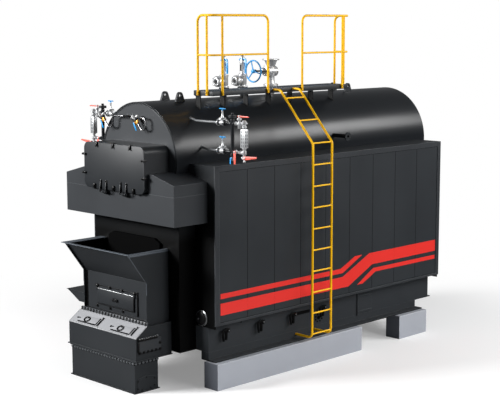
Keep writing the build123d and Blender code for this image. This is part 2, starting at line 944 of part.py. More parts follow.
# Ash box: the closed hopper under the grate front, standing on the floor, with a bolted
# arched cover on each side
with BuildPart() as ash_box:
    with BuildSketch():
        with Locations((0, y_at(-ash_box_reach + ash_box_depth / 2))):
            Rectangle(ash_box_width, ash_box_depth)
    extrude(amount=housing_bottom)
    with BuildSketch():
        with Locations((0, y_at(-ash_box_reach + ash_box_depth / 2))):
            Rectangle(ash_box_width + 2 * flange_proud, ash_box_depth + 2 * flange_proud)
    extrude(amount=flange_thickness)
    with BuildSketch(Plane.XY.offset(housing_bottom - flange_thickness)):
        with Locations((0, y_at(-ash_box_reach + ash_box_depth / 2))):
            Rectangle(ash_box_width + 2 * flange_proud, ash_box_depth + 2 * flange_proud)
    extrude(amount=flange_thickness)
    for side in (-1, 1):
        with BuildSketch(Plane.YZ.offset(side * ash_box_width / 2)):
            with BuildLine():
                Polyline(
                    (y_at(-ash_door_front), ash_door_spring),
                    (y_at(-ash_door_front), ash_door_foot),
                    (y_at(-ash_door_front + ash_door_length), ash_door_foot),
                    (y_at(-ash_door_front + ash_door_length), ash_door_spring),
                )
                ThreePointArc(
                    (y_at(-ash_door_front + ash_door_length), ash_door_spring),
                    (y_at(-ash_door_front + ash_door_length / 2), ash_door_crown),
                    (y_at(-ash_door_front), ash_door_spring),
                )
            make_face()
        extrude(amount=side * ash_door_thickness)
save(ash_box.part, "ash_box")

# Drive guard: the closed flared box on the left of the chute
guard_depth = guard_reach - neck_depth
guard_foot = chute_bottom + guard_rise
with BuildPart() as guard:
    with BuildSketch(Plane.XZ.offset(-y_at(-guard_reach))):
        with BuildLine():
            Polyline(
                (-chute_half, guard_foot),
                (-chute_half - guard_foot_width, guard_foot),
                (-chute_half - guard_top_width, guard_foot + guard_height),
                (-chute_half, guard_foot + guard_height),
                close=True,
            )
        make_face()
    extrude(amount=-guard_depth)
    with BuildSketch(Plane.XY.offset(guard_foot + guard_height)):
        with Locations((-chute_half, y_at(-neck_depth))):
            Rectangle(guard_top_width + guard_lip, guard_depth + guard_lip, align=(Align.MAX, Align.MAX))
    extrude(amount=plate / 2)
save(guard.part, "drive_guard")

# Walkway: a plate on an edge frame of channels, open below, along the right of the drum
deck_middle = (deck_inner + deck_outer) / 2
deck_width = deck_outer - deck_inner
deck_hollow = deck_thickness - 2 * deck_plate
with BuildPart() as deck:
    with BuildSketch(Plane.XY.offset(deck_bottom)):
        with Locations((deck_middle, y_at(deck_start + deck_length / 2))):
            Rectangle(deck_width, deck_length)
            Rectangle(deck_width - 2 * deck_flange, deck_length - 2 * deck_flange, mode=Mode.SUBTRACT)
    extrude(amount=deck_plate)
    with BuildSketch(Plane.XY.offset(deck_bottom + deck_plate)):
        with Locations((deck_middle, y_at(deck_start + deck_length / 2))):
            Rectangle(deck_width, deck_length)
            Rectangle(deck_width - 2 * deck_plate, deck_length - 2 * deck_plate, mode=Mode.SUBTRACT)
    extrude(amount=deck_hollow)
    with BuildSketch(Plane.XY.offset(deck_top - deck_plate)):
        with Locations((deck_middle, y_at(deck_start + deck_length / 2))):
            Rectangle(deck_width, deck_length)
    extrude(amount=deck_plate)
save(deck.part, "walkway_deck")

# Walkway supports: webs that stand on the drum, each with a flange under the deck

support_pitch = (deck_length - support_flange) / (support_count - 1)
support_middle = deck_inner + support_inset + support_width / 2
with BuildPart() as supports:
    for number in range(support_count):
        centre = deck_start + support_flange / 2 + number * support_pitch
        with BuildSketch(Plane.XZ.offset(-y_at(centre - support_thickness / 2))):
            with Locations((support_middle, (drum_axis + deck_bottom) / 2)):
                Rectangle(support_width, deck_bottom - drum_axis)
            with Locations((0, drum_axis)):
                Circle(drum_radius + seat_gap, mode=Mode.SUBTRACT)
        extrude(amount=-support_thickness)
        with BuildSketch(Plane.XY.offset(deck_bottom)):
            with Locations((support_middle, y_at(centre))):
                Rectangle(support_width, support_flange)
        extrude(amount=-support_flange_thickness)
save(supports.part, "walkway_supports")

# Railings: bent tube, open on the ladder side
rail_x = deck_outer + tube_diameter / 2
rail_front = deck_start - tube_diameter / 2
rail_rear = deck_start + deck_length + tube_diameter / 2
rail_z = deck_top + rail_height
mid_z = deck_top + mid_rail_height
post_foot = deck_bottom + post_foot_rise


def railing(end_y, far_post_y, near_post_y):
    """Top rail bent down into a post at each end, with mid rail and two more posts."""
    with BuildPart() as rails:
        with BuildLine() as route:
            FilletPolyline(
                (end_post_far, y_at(end_y), post_foot),
                (end_post_far, y_at(end_y), rail_z),
                (rail_x, y_at(end_y), rail_z),
                (rail_x, y_at(far_post_y), rail_z),
                (rail_x, y_at(far_post_y), post_foot),
                radius=rail_radius,
            )
        with BuildSketch(Plane(origin=route.line @ 0, z_dir=route.line % 0)):
            Circle(tube_diameter / 2)
        sweep()
        with BuildLine() as middle:
            FilletPolyline(
                (end_post_far, y_at(end_y), mid_z),
                (rail_x, y_at(end_y), mid_z),
                (rail_x, y_at(far_post_y), mid_z),
                radius=rail_radius,
            )
        with BuildSketch(Plane(origin=middle.line @ 0, z_dir=middle.line % 0)):
            Circle(mid_tube_diameter / 2)
        sweep()
        with BuildSketch(Plane.XY.offset(post_foot)):
            with Locations((end_post_near, y_at(end_y)), (rail_x, y_at(near_post_y))):
                Circle(post_tube_diameter / 2)
        extrude(amount=rail_z - post_foot)
    return rails.part


save(railing(rail_front, post_d, post_c), "railing_front")
save(railing(rail_rear, post_e, post_g), "railing_rear")

# Ladder: two bent stiles from the deck down to the sill
ladder_x = casing_half + ladder_stand_off
ladder_head_z = deck_bottom + ladder_head_rise
ladder_bend_x = deck_outer + ladder_top_run


def rung_x(z):
    """Distance out of the stile's centreline at a height."""
    if z <= ladder_knee:
        return ladder_x
    share = (z - ladder_knee) / (ladder_head_z - ladder_knee)
    return ladder_x + share * (ladder_bend_x - ladder_x)


def stiles(diameter):
    """Both bent stiles of the ladder, as rods of a diameter."""
    with BuildPart() as rods:
        for side in (-1, 1):
            stile_y = y_at(ladder_y + side * ladder_width / 2)
            with BuildLine() as route:
                FilletPolyline(
                    (deck_outer, stile_y, ladder_head_z),
                    (ladder_bend_x, stile_y, ladder_head_z),
                    (ladder_x, stile_y, ladder_knee),
                    (ladder_x, stile_y, ladder_foot),
                    (chassis_half, stile_y, ladder_foot),
                    radius=ladder_bend,
                )
            with BuildSketch(Plane(origin=route.line @ 0, z_dir=route.line % 0)):
                Circle(diameter / 2)
            sweep()
    return rods.part


save(stiles(tube_diameter), "ladder")

# Ladder rungs: round bars, each cut at its ends to the shape of the stiles, as many as fit
# below the upper bend
rung_room = ladder_head_z - ladder_bend - rung_first
rung_count = int(rung_room / rung_pitch) + 1
with BuildPart() as rungs:
    for number in range(rung_count):
        z = rung_first + number * rung_pitch
        with BuildSketch(Plane.XZ.offset(-y_at(ladder_y - ladder_width / 2))):
            with Locations((rung_x(z), z)):
                Circle(rung_diameter / 2)
        extrude(amount=-ladder_width)
    add(stiles(tube_diameter + 2 * pin_gap), mode=Mode.SUBTRACT)
save(rungs.part, "ladder_rungs")

# Fittings sit on the drum through this cut, which gives a part its saddle
def drum_saddle():
    """Cut the drum's outside, with its seat clearance, out of the current part."""
    with BuildSketch(Plane.XZ.offset(-y_at(-drum_front_reach))) as seat:
        with Locations((0, drum_axis)):
            Circle(drum_radius + seat_gap)
    extrude(seat.sketch, amount=-drum_length, mode=Mode.SUBTRACT)


# Lifting lugs: four thick ears with an eye, welded on the drum's shoulders
with BuildPart() as lugs:
    for x in (-lug_x, lug_x):
        for distance in lug_y:
            foot = drum_surface_z(lug_x) - 2 * lug_thickness
            eye = drum_surface_z(lug_x) + lug_eye_height
            with BuildSketch(Plane.YZ.offset(x - lug_thickness / 2)):
                with BuildLine():
                    Polyline(
                        (y_at(distance) - lug_foot / 2, foot),
                        (y_at(distance) + lug_foot / 2, foot),
                        (y_at(distance) + lug_foot / 2, drum_surface_z(lug_x)),
                        (y_at(distance) + lug_radius * 0.92, eye + lug_radius * 0.4),
                        (y_at(distance) - lug_radius * 0.92, eye + lug_radius * 0.4),
                        (y_at(distance) - lug_foot / 2, drum_surface_z(lug_x)),
                        close=True,
                    )
                make_face()
                with Locations((y_at(distance), eye)):
                    Circle(lug_radius)
                    Circle(lug_eye_diameter / 2, mode=Mode.SUBTRACT)
            extrude(amount=lug_thickness)
    drum_saddle()
save(lugs.part, "lifting_lugs")

# Side nozzle: a short flanged branch on the right of the drum
with BuildPart() as nozzle:
    with BuildSketch(Plane.YZ.offset(drum_radius / 2)):
        with Locations((y_at(nozzle_y), nozzle_z)):
            Circle(nozzle_pipe / 2)
    extrude(amount=nozzle_reach - drum_radius / 2)
    with BuildSketch(Plane.YZ.offset(nozzle_reach)):
        with Locations((y_at(nozzle_y), nozzle_z)):
            Circle(nozzle_flange / 2)
            with PolarLocations(nozzle_bolt_circle / 2, nozzle_bolt_count, 45):
                Circle(nozzle_bolt_hole / 2, mode=Mode.SUBTRACT)
    extrude(amount=-nozzle_flange_thickness)
    drum_saddle()
    with BuildSketch(Plane.YZ.offset(nozzle_reach)):
        with Locations((y_at(nozzle_y), nozzle_z)):
            Circle(nozzle_bore / 2)
    extrude(amount=-nozzle_bore_depth, mode=Mode.SUBTRACT)
save(nozzle.part, "side_nozzle")


# Safety valves: turned bodies with a flanged side outlet towards the front
def safety_valve(distance):
    with BuildPart() as valve:
        with BuildSketch(Plane.YZ):
            with BuildLine():
                Polyline(
                    (y_at(distance), drum_axis + drum_radius * 0.97),
                    (y_at(distance) + valve_stub / 2, drum_axis + drum_radius * 0.97),
                    (y_at(distance) + valve_stub / 2, valve_flange_z - valve_flange_thickness),
                    (y_at(distance) + valve_flange / 2, valve_flange_z - valve_flange_thickness),
                    (y_at(distance) + valve_flange / 2, valve_flange_z + valve_flange_thickness),
                    (y_at(distance) + valve_body / 2, valve_flange_z + 2 * valve_flange_thickness),
                    (y_at(distance) + valve_body / 2, valve_flange_z + valve_body_height),
                    (y_at(distance) + valve_bonnet / 2, valve_flange_z + valve_body_height + 12),
                    (y_at(distance) + valve_bonnet * 0.44, valve_cap_z - valve_cap_height),
                    (y_at(distance) + valve_cap / 2, valve_cap_z - valve_cap_height),
                    (y_at(distance) + valve_cap / 2, valve_cap_z - 8),
                    (y_at(distance) + valve_cap / 2 - 8, valve_cap_z),
                    (y_at(distance), valve_cap_z),
                    close=True,
                )
            make_face()
        revolve(axis=Axis((0, y_at(distance), 0), (0, 0, 1)))
        with BuildSketch(Plane.XZ.offset(-y_at(distance))):
            with Locations((0, valve_outlet_z)):
                Circle(valve_outlet / 2)
        extrude(amount=valve_outlet_reach)
        with BuildSketch(Plane.XZ.offset(-y_at(distance - valve_outlet_reach))):
            with Locations((0, valve_outlet_z)):
                Circle(valve_outlet_flange / 2)
        extrude(amount=-valve_flange_thickness)
        with BuildSketch(Plane.XZ.offset(-y_at(distance - valve_outlet_reach))):
            with Locations((0, valve_outlet_z)):
                Circle(valve_outlet_bore / 2)
        extrude(amount=-valve_outlet_depth, mode=Mode.SUBTRACT)
        drum_saddle()
    return valve.part


save(safety_valve(safety_valve_y[0]), "safety_valve_front")
save(safety_valve(safety_valve_y[1]), "safety_valve_rear")

# Steam valve: a stop valve with a level bonnet, bottom inlet and top outlet flange
steam_y = y_at(steam_valve_y)
with BuildPart() as steam_valve:
    with BuildSketch(Plane.YZ):
        with BuildLine():
            Polyline(
                (steam_y, drum_axis + drum_radius * 0.97),
                (steam_y + steam_neck / 2, drum_axis + drum_radius * 0.97),
                (steam_y + steam_neck / 2, valve_flange_z - steam_flange_thickness),
                (steam_y + steam_inlet_flange / 2, valve_flange_z - steam_flange_thickness),
                (steam_y + steam_inlet_flange / 2, valve_flange_z + steam_flange_thickness),
                (steam_y + steam_neck / 2, valve_flange_z + steam_flange_thickness),
                (steam_y + steam_neck / 2, steam_axis_z),
                (steam_y + steam_neck / 2, steam_axis_z + steam_body / 3),
                (steam_y + steam_outlet_flange / 3, steam_top_z - steam_flange_thickness),
                (steam_y + steam_outlet_flange / 2, steam_top_z - steam_flange_thickness),
                (steam_y + steam_outlet_flange / 2, steam_top_z),
                (steam_y, steam_top_z),
                close=True,
            )
        make_face()
    revolve(axis=Axis((0, steam_y, 0), (0, 0, 1)))
    with Locations((0, steam_y, steam_axis_z)):
        Sphere(steam_body / 2)
    with BuildSketch(Plane.XZ.offset(-steam_y)):
        with Locations((0, steam_axis_z)):
            Circle(steam_neck / 2)
    extrude(amount=steam_bonnet_reach)
    with BuildSketch(Plane.XZ.offset(-steam_y + steam_body / 2)):
        with Locations((0, steam_axis_z)):
            Circle(steam_bonnet_flange / 2)
    extrude(amount=steam_flange_thickness)
    with BuildSketch(Plane.XZ.offset(-steam_y)):
        with Locations((0, steam_axis_z)):
            Circle(steam_spindle / 2)
    extrude(amount=steam_spindle_reach)
    with BuildSketch(Plane.XZ.offset(-steam_y + steam_bonnet_reach)):
        with Locations((-yoke_half, steam_axis_z), (yoke_half, steam_axis_z)):
            Rectangle(yoke_bar, 2 * yoke_bar)
    extrude(amount=yoke_reach - steam_bonnet_reach)
    with BuildSketch(Plane.XZ.offset(-steam_y + yoke_reach)):
        with Locations((0, steam_axis_z)):
            Rectangle(2 * yoke_half + yoke_bar, 2 * yoke_bar)
    extrude(amount=-yoke_bar)
    with BuildSketch(Plane.XZ.offset(-steam_y + steam_bonnet_reach)):
        with Locations((0, steam_axis_z)):
            Circle(steam_bonnet_flange / 2)
    extrude(amount=-yoke_bar)
    with BuildSketch(Plane.XY.offset(steam_top_z)):
        with Locations((0, steam_y)):
            Circle(steam_bore / 2)
            with PolarLocations(steam_bolt_circle / 2, steam_bolt_count, 180 / steam_bolt_count):
                Circle(steam_bolt_hole / 2)
    extrude(amount=-steam_flange_thickness, mode=Mode.SUBTRACT)
    with BuildSketch(Plane.XY.offset(steam_top_z)):
        with Locations((0, steam_y)):
            Circle(steam_bore / 2)
    extrude(amount=-steam_bore_depth, mode=Mode.SUBTRACT)
    drum_saddle()
save(steam_valve.part, "steam_valve")

# Hand wheel: a round rim on three spokes, free to turn on the spindle
wheel_y = steam_y - steam_spindle_reach + wheel_hub_length / 2 + wheel_end
with BuildPart() as wheel:
    for number in range(wheel_spokes):
        turn = math.radians(90 + 360 / wheel_spokes * number)
        outward = (math.cos(turn), 0, math.sin(turn))
        with BuildSketch(Plane(origin=(0, wheel_y, steam_axis_z), x_dir=(0, 1, 0), z_dir=outward)):
            Circle(wheel_spoke / 2)
        extrude(amount=wheel_diameter / 2 - wheel_rim / 2)
    with BuildSketch(Plane.XZ.offset(-wheel_y - wheel_hub_length / 2)):
        with Locations((0, steam_axis_z)):
            Circle(wheel_hub / 2)
    extrude(amount=wheel_hub_length)
    with BuildSketch(Plane(origin=(0, wheel_y, steam_axis_z), x_dir=(1, 0, 0), z_dir=(0, 0, 1))):
        with Locations((wheel_diameter / 2 - wheel_rim / 2, 0)):
            Circle(wheel_rim / 2)
    revolve(axis=Axis((0, wheel_y, steam_axis_z), (0, 1, 0)))
    with BuildSketch(Plane.XZ.offset(-steam_y)):
        with Locations((0, steam_axis_z)):
            Circle(steam_spindle / 2 + pin_gap)
    extrude(amount=steam_spindle_reach + wheel_hub_length, mode=Mode.SUBTRACT)
save(wheel.part, "steam_wheel")


# Water gauges: two flanged pipes from the drum, a column and a framed glass
def water_gauge(side):
    y = y_at(gauge_y)
    with BuildPart() as gauge:
        for z in (gauge_lower, gauge_upper):
            with BuildSketch(Plane.YZ.offset(side * drum_radius / 2)):
                with Locations((y, z)):
                    Circle(gauge_pipe / 2)
            extrude(amount=side * (gauge_glass_x - drum_radius / 2))
            with Locations((side * gauge_valve_x, y, z)):
                Sphere(gauge_valve_body / 2)
            for step in (-1, 1):
                with BuildSketch(Plane.YZ.offset(side * (gauge_valve_x + step * gauge_valve_half))):
                    with Locations((y, z)):
                        Circle(gauge_flange / 2)
                extrude(amount=side * step * gauge_flange_thickness)
            with BuildSketch(Plane.XY.offset(z)):
                with Locations((side * gauge_valve_x, y)):
                    Circle(gauge_stem / 2)
            extrude(amount=gauge_wheel_height)
            with BuildSketch(Plane.XY.offset(z + gauge_wheel_height)):
                with Locations((side * gauge_valve_x, y)):
                    Circle(gauge_wheel / 2)
            extrude(amount=gauge_stem / 2)
            with BuildSketch(Plane.XY.offset(z - gauge_cock / 2)):
                with Locations((side * gauge_glass_x, y)):
                    Circle(gauge_cock / 2)
            extrude(amount=gauge_cock)
        with BuildSketch(Plane.XY.offset(gauge_lower - gauge_column_tail)):
            with Locations((side * gauge_column_x, y)):
                Circle(gauge_column / 2)
        extrude(amount=gauge_upper - gauge_lower + gauge_column_tail + gauge_column_head)
        with BuildSketch(Plane.XY.offset(gauge_upper + gauge_column_head)):
            with Locations((side * gauge_column_x, y)):
                Circle(gauge_cap / 2)
        extrude(amount=gauge_cap_thickness)
        with BuildSketch(Plane.XY.offset(gauge_lower)):
            with Locations((side * gauge_glass_x, y)):
                Circle(gauge_pipe / 2)
        extrude(amount=gauge_upper - gauge_lower)
        with BuildSketch(Plane.XY.offset((gauge_lower + gauge_upper) / 2 - gauge_glass_height / 2)):
            with Locations((side * gauge_glass_x, y)):
                Rectangle(gauge_glass_width, gauge_glass_depth)
        extrude(amount=gauge_glass_height)
        with BuildSketch(Plane.XY.offset(gauge_lower - gauge_drain)):
            with Locations((side * gauge_glass_x, y)):
                Circle(gauge_stem)
        extrude(amount=gauge_drain)
        for x, z, reach in (
            (gauge_glass_x - gauge_handle_start, gauge_upper + gauge_handle_rise, gauge_upper_handle),
            (gauge_glass_x, gauge_lower - gauge_handle_drop, gauge_lower_handle),
        ):
            with BuildSketch(Plane.YZ.offset(side * x)):
                with Locations((y, z)):
                    Rectangle(gauge_handle_width, gauge_handle_thickness)
            extrude(amount=side * reach)
        with BuildSketch(Plane.XY.offset(gauge_upper)):
            with Locations((side * (gauge_glass_x - gauge_handle_start), y)):
                Circle(gauge_stem)
        extrude(amount=gauge_handle_rise)
        drum_saddle()
    return gauge.part


save(water_gauge(1), "water_gauge_right")
save(water_gauge(-1), "water_gauge_left")


# Pressure gauges: a dial on a siphon pipe that loops out of the drum's front head
def pressure_gauge(siphon_points, dial):
    """Siphon and dial, from places across and above or below the siphon's root."""
    head_face = y_at(-drum_front_reach)
    siphon_y = head_face - siphon_reach
    root = siphon_points[0]
    with BuildPart() as gauge:
        with BuildLine() as route:
            FilletPolyline(
                (root[0], head_face - seat_gap, siphon_height + root[1]),
                *[(x, siphon_y, siphon_height + rise) for x, rise in siphon_points],
                radius=siphon_bend,
            )
        with BuildSketch(Plane(origin=route.line @ 0, z_dir=route.line % 0)):
            Circle(siphon_pipe / 2)
        sweep()
        with BuildSketch(Plane.XZ.offset(-siphon_y - dial_thickness / 2)):
            with Locations((dial[0], siphon_height + dial[1])):
                Circle(dial_diameter / 2)
        extrude(amount=dial_thickness)
        with Locations(route.line @ 1):
            Sphere(siphon_pipe)
    return gauge.part


save(pressure_gauge(left_siphon, left_dial), "pressure_gauge_left")
save(pressure_gauge(right_siphon, right_dial), "pressure_gauge_right")

# Sight ports: round glazed flanges low on the casing front
with BuildPart() as ports:
    for side in (-1, 1):
        with BuildSketch(Plane.XZ.offset(-y_at(0))):
            with Locations((side * port_x, port_z)):
                Circle(port_diameter / 2)
        extrude(amount=port_thickness)
        with BuildSketch(Plane.XZ.offset(-y_at(-port_thickness))):
            with Locations((side * port_x, port_z)):
                Circle(port_diameter / 2 - port_rim)
        extrude(amount=-port_thickness / 2, mode=Mode.SUBTRACT)
save(ports.part, "sight_ports")
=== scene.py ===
import math

import bmesh
import bpy
from mathutils import Matrix, Vector


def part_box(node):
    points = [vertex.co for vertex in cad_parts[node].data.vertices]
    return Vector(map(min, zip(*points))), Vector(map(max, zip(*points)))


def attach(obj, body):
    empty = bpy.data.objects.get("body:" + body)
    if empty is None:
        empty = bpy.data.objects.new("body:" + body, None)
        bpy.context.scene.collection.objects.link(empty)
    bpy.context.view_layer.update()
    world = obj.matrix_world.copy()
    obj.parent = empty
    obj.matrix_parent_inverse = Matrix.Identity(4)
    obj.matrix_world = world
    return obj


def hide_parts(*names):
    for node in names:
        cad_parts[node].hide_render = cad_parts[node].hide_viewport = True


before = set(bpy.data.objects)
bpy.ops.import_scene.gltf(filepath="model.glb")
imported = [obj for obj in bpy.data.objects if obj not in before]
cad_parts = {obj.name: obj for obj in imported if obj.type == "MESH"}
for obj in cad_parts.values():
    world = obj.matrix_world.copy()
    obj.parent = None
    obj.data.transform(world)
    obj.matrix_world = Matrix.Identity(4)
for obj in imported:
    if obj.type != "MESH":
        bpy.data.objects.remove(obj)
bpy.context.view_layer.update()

# Camera: a long lens to the right of the boiler's front corner, a little above the
# walkway, so that the front, the right side and the drum's crown all show.
lens_length = 88.49
film_width = 36.0
view_place = Vector((12.952, -12.991, 4.858))
view_turn, view_fall, view_roll = (math.radians(angle) for angle in (45.234, 8.160, -0.109))

towards_eye = Vector((
    math.sin(view_turn) * math.cos(view_fall),
    -math.cos(view_turn) * math.cos(view_fall),
    math.sin(view_fall),
))
level_right = (-towards_eye).cross(Vector((0, 0, 1))).normalized()
level_up = level_right.cross(-towards_eye)
picture_right = math.cos(view_roll) * level_right + math.sin(view_roll) * level_up
picture_up = math.cos(view_roll) * level_up - math.sin(view_roll) * level_right
lens = bpy.data.cameras.new("lens")
lens.lens = lens_length
lens.sensor_width = film_width
lens.clip_end = 200
eye = bpy.data.objects.new("eye", lens)
bpy.context.scene.collection.objects.link(eye)
eye.matrix_world = Matrix.Translation(view_place) @ Matrix(
    (picture_right, picture_up, towards_eye)
).transposed().to_4x4()
bpy.context.scene.camera = eye
bpy.context.scene.view_settings.view_transform = "Standard"


# Studio: a pale floor that keeps the boiler's soft shadow and fades to plain white some
# metres out, under a soft surround that is brightest near the level of the eye.
def give(tree, place, value):
    """Link a socket to an input, or set a plain value on it."""
    if isinstance(value, bpy.types.NodeSocket):
        tree.links.new(value, place)
    else:
        place.default_value = value


def node(tree, kind, **inputs):
    """A new node in a tree, with inputs given by name (spaces written as underscores)."""
    made = tree.nodes.new(kind)
    for name, value in inputs.items():
        give(tree, made.inputs[name.replace("_", " ")], value)
    return made


def worked_out(tree, operation, first, second):
    """A number from two others, each of them a socket or a plain number."""
    made = node(tree, "ShaderNodeMath")
    made.operation = operation
    for number, place in zip((first, second), made.inputs):
        give(tree, place, number)
    return made.outputs[0]


def mixed(tree, share, first, second):
    """A shader that goes from the first to the second as the share rises."""
    made = node(tree, "ShaderNodeMixShader")
    for source, place in zip((share, first.outputs[0], second.outputs[0]), made.inputs):
        tree.links.new(source, place)
    return made


def ray_is(tree, *kinds):
    """1 for rays of any of the named kinds, and 0 for the rest."""
    path = node(tree, "ShaderNodeLightPath")
    total = path.outputs[kinds[0]]
    for kind in kinds[1:]:
        total = worked_out(tree, "MAXIMUM", total, path.outputs[kind])
    return total


floor_reach = 60
fade_start, fade_end = 4.0, 7.0
floor_tone = (0.80, 0.80, 0.80, 1)
floor_in_gloss = (0.16, 0.16, 0.16, 1)
floor_lift = 0.25
level_light, crown_light = 0.29, 0.07
surround_tone = (0.93, 0.96, 1.0, 1)

floor_mesh = bpy.data.meshes.new("studio_floor")
floor_mesh.from_pydata(
    [(-floor_reach, -floor_reach, 0), (floor_reach, -floor_reach, 0),
     (floor_reach, floor_reach, 0), (-floor_reach, floor_reach, 0)], [], [(0, 1, 2, 3)]
)
studio_floor = bpy.data.objects.new("studio_floor", floor_mesh)
bpy.context.scene.collection.objects.link(studio_floor)
floor_paper = bpy.data.materials.new("floor_paper")
floor_paper.use_nodes = True
paper = floor_paper.node_tree
paper.nodes.clear()
paper_colour = node(paper, "ShaderNodeBsdfDiffuse", Color=floor_tone)
# Painted shade in reflections: the floor shows much darker to glossy rays than to the camera.
floor_reflection_dark = node(paper, "ShaderNodeBsdfDiffuse", Color=floor_in_gloss)
seen_paper = mixed(paper, ray_is(paper, "Is Glossy Ray"), paper_colour, floor_reflection_dark)
paper_lift = node(
    paper, "ShaderNodeEmission", Color=(1, 1, 1, 1),
    Strength=worked_out(paper, "MULTIPLY", ray_is(paper, "Is Camera Ray"), floor_lift),
)
lit_paper = node(paper, "ShaderNodeAddShader")
paper.links.new(seen_paper.outputs[0], lit_paper.inputs[0])
paper.links.new(paper_lift.outputs[0], lit_paper.inputs[1])
plain_white = node(
    paper, "ShaderNodeEmission", Color=(1, 1, 1, 1),
    Strength=ray_is(paper, "Is Camera Ray", "Is Transmission Ray"),
)
from_middle = node(paper, "ShaderNodeVectorMath")
from_middle.operation = "LENGTH"
give(paper, from_middle.inputs[0], node(paper, "ShaderNodeTexCoord").outputs["Object"])
fade = node(paper, "ShaderNodeMapRange", Value=from_middle.outputs["Value"],
            From_Min=fade_start, From_Max=fade_end)
fade.interpolation_type = "SMOOTHSTEP"
faded = mixed(paper, fade.outputs[0], lit_paper, plain_white)
node(paper, "ShaderNodeOutputMaterial", Surface=faded.outputs[0])
floor_mesh.materials.append(floor_paper)

world = bpy.data.worlds.new("surround")
world.use_nodes = True
bpy.context.scene.world = world
sky = world.node_tree
sky.nodes.clear()
sky_way = node(
    sky, "ShaderNodeSeparateXYZ", Vector=node(sky, "ShaderNodeTexCoord").outputs["Generated"]
)
falling_off = node(sky, "ShaderNodeMapRange", Value=sky_way.outputs["Z"], From_Max=0.75,
                   To_Min=level_light, To_Max=crown_light)
soft_light = node(sky, "ShaderNodeBackground", Color=surround_tone,
                  Strength=falling_off.outputs[0])
white_card = node(sky, "ShaderNodeBackground", Color=(1, 1, 1, 1), Strength=1)
seen = mixed(sky, ray_is(sky, "Is Camera Ray", "Is Transmission Ray"), soft_light, white_card)
node(sky, "ShaderNodeOutputWorld", Surface=seen.outputs[0])


def softbox(name, place, aim, width, height, power):
    """A rectangular lamp that faces a point."""
    lamp = bpy.data.lights.new(name, "AREA")
    lamp.shape = "RECTANGLE"
    lamp.size, lamp.size_y = width, height
    lamp.energy = power
    holder = bpy.data.objects.new(name, lamp)
    bpy.context.scene.collection.objects.link(holder)
    facing = (Vector(aim) - Vector(place)).to_track_quat("-Z", "Y")
    holder.matrix_world = Matrix.LocRotScale(Vector(place), facing, None)


softbox("side_softbox", (10.0, 9.5, 8.6), aim=(0.6, 0.8, 2.4), width=9.0, height=3.8,
        power=1400)
softbox("front_softbox", (-9.5, -17.0, 9.0), aim=(0, -2.0, 2.8), width=8.0, height=5.0,
        power=6400)
softbox("right_softbox", (14.0, 1.5, 6.0), aim=(0, 0.5, 1.2), width=7.0, height=5.0,
        power=850)


# Plinths: two long and two short blocks of concrete under the sills, cast with small
# chamfers and painted a pale blue grey. Trowel marks and dust give them an uneven tone.
def blended(tree, share, first, second, way="MIX"):
    """A colour between two others, each of them a socket or a plain colour."""
    made = node(tree, "ShaderNodeMix")
    made.data_type = "RGBA"
    made.blend_type = way
    for value, place in ((share, 0), (first, 6), (second, 7)):
        give(tree, made.inputs[place], value)
    return made.outputs[2]


def alignment(tree, first, second, low, high):
    """A share that follows how far two directions agree, from a low to a high."""
    product = node(tree, "ShaderNodeVectorMath")
    product.operation = "DOT_PRODUCT"
    for direction, place in zip((first, second), product.inputs):
        give(tree, place, direction)
    return node(tree, "ShaderNodeMapRange", Value=product.outputs["Value"], From_Min=low,
                From_Max=high).outputs[0]


def paint(name, colour, roughness, broad=0.8, spread=0.12, grain=220, dimple=0.00012,
          edge=None, rounding=0.003, metallic=0.0, specular=0.5):
    """Coating or metal with a patchy tone, a fine skin and softened edges, lightened as a painted
    highlight.
    """
    material = bpy.data.materials.new(name)
    material.use_nodes = True
    tree = material.node_tree
    shader = tree.nodes["Principled BSDF"]
    place = node(tree, "ShaderNodeTexCoord").outputs["Object"]
    patches = node(tree, "ShaderNodeTexNoise", Vector=place, Scale=broad, Detail=5.0)
    tone = blended(tree, patches.outputs["Fac"], *(
        (*[share * (1 + way * 2 * spread) for share in colour], 1) for way in (-1, 1)
    ))
    shine = node(tree, "ShaderNodeMapRange", Value=patches.outputs["Fac"],
                 To_Min=roughness - 0.08, To_Max=roughness + 0.08)
    soft_edge = node(tree, "ShaderNodeBevel", Radius=rounding)
    soft_edge.samples = 4
    skin = node(tree, "ShaderNodeTexNoise", Vector=place, Scale=grain, Detail=2.0)
    bumps = node(tree, "ShaderNodeBump", Strength=0.5, Distance=dimple,
                 Height=skin.outputs["Fac"], Normal=soft_edge.outputs[0])
    # Painted highlight: the edge colour lightens every edge that the rounding finds.
    if edge is not None:
        flat = node(tree, "ShaderNodeNewGeometry").outputs["Normal"]
        edge_highlight_share = alignment(tree, soft_edge.outputs[0], flat, 0.995, 0.80)
        tone = blended(tree, edge_highlight_share, tone, (*edge, 1))
    for label, value in (
        ("Base Color", tone), ("Metallic", metallic), ("Roughness", shine.outputs[0]),
        ("Specular IOR Level", specular), ("Normal", bumps.outputs[0]),
    ):
        give(tree, shader.inputs[label], value)
    return material


def coat(material, *names):
    """Give CAD nodes their material."""
    for name in names:
        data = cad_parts[name].data
        data.materials.clear()
        data.materials.append(material)


plinth_grey = paint(
    "plinth_grey", (0.345, 0.362, 0.400), 0.75, broad=1.6, spread=0.05, grain=90,
    dimple=0.0008, edge=(0.80, 0.82, 0.85), rounding=0.010, specular=0.3,
)
coat(plinth_grey, "plinths_front", "plinths_rear")
cast_tree = plinth_grey.node_tree
cast_shader = cast_tree.nodes["Principled BSDF"]
unshaded_plinth_tone = cast_shader.inputs["Base Color"].links[0].from_socket
# Painted shade: faces that look to the front get a darker tint multiplied into their tone.
normal = node(cast_tree, "ShaderNodeNewGeometry").outputs["Normal"]
front_shade_share = alignment(cast_tree, normal, (0, -1, 0), 0.4, 0.8)
front_shade_tint = (0.24, 0.25, 0.27, 1)
cast_tree.links.new(
    blended(cast_tree, front_shade_share, unshaded_plinth_tone, front_shade_tint, "MULTIPLY"),
    cast_shader.inputs["Base Color"],
)
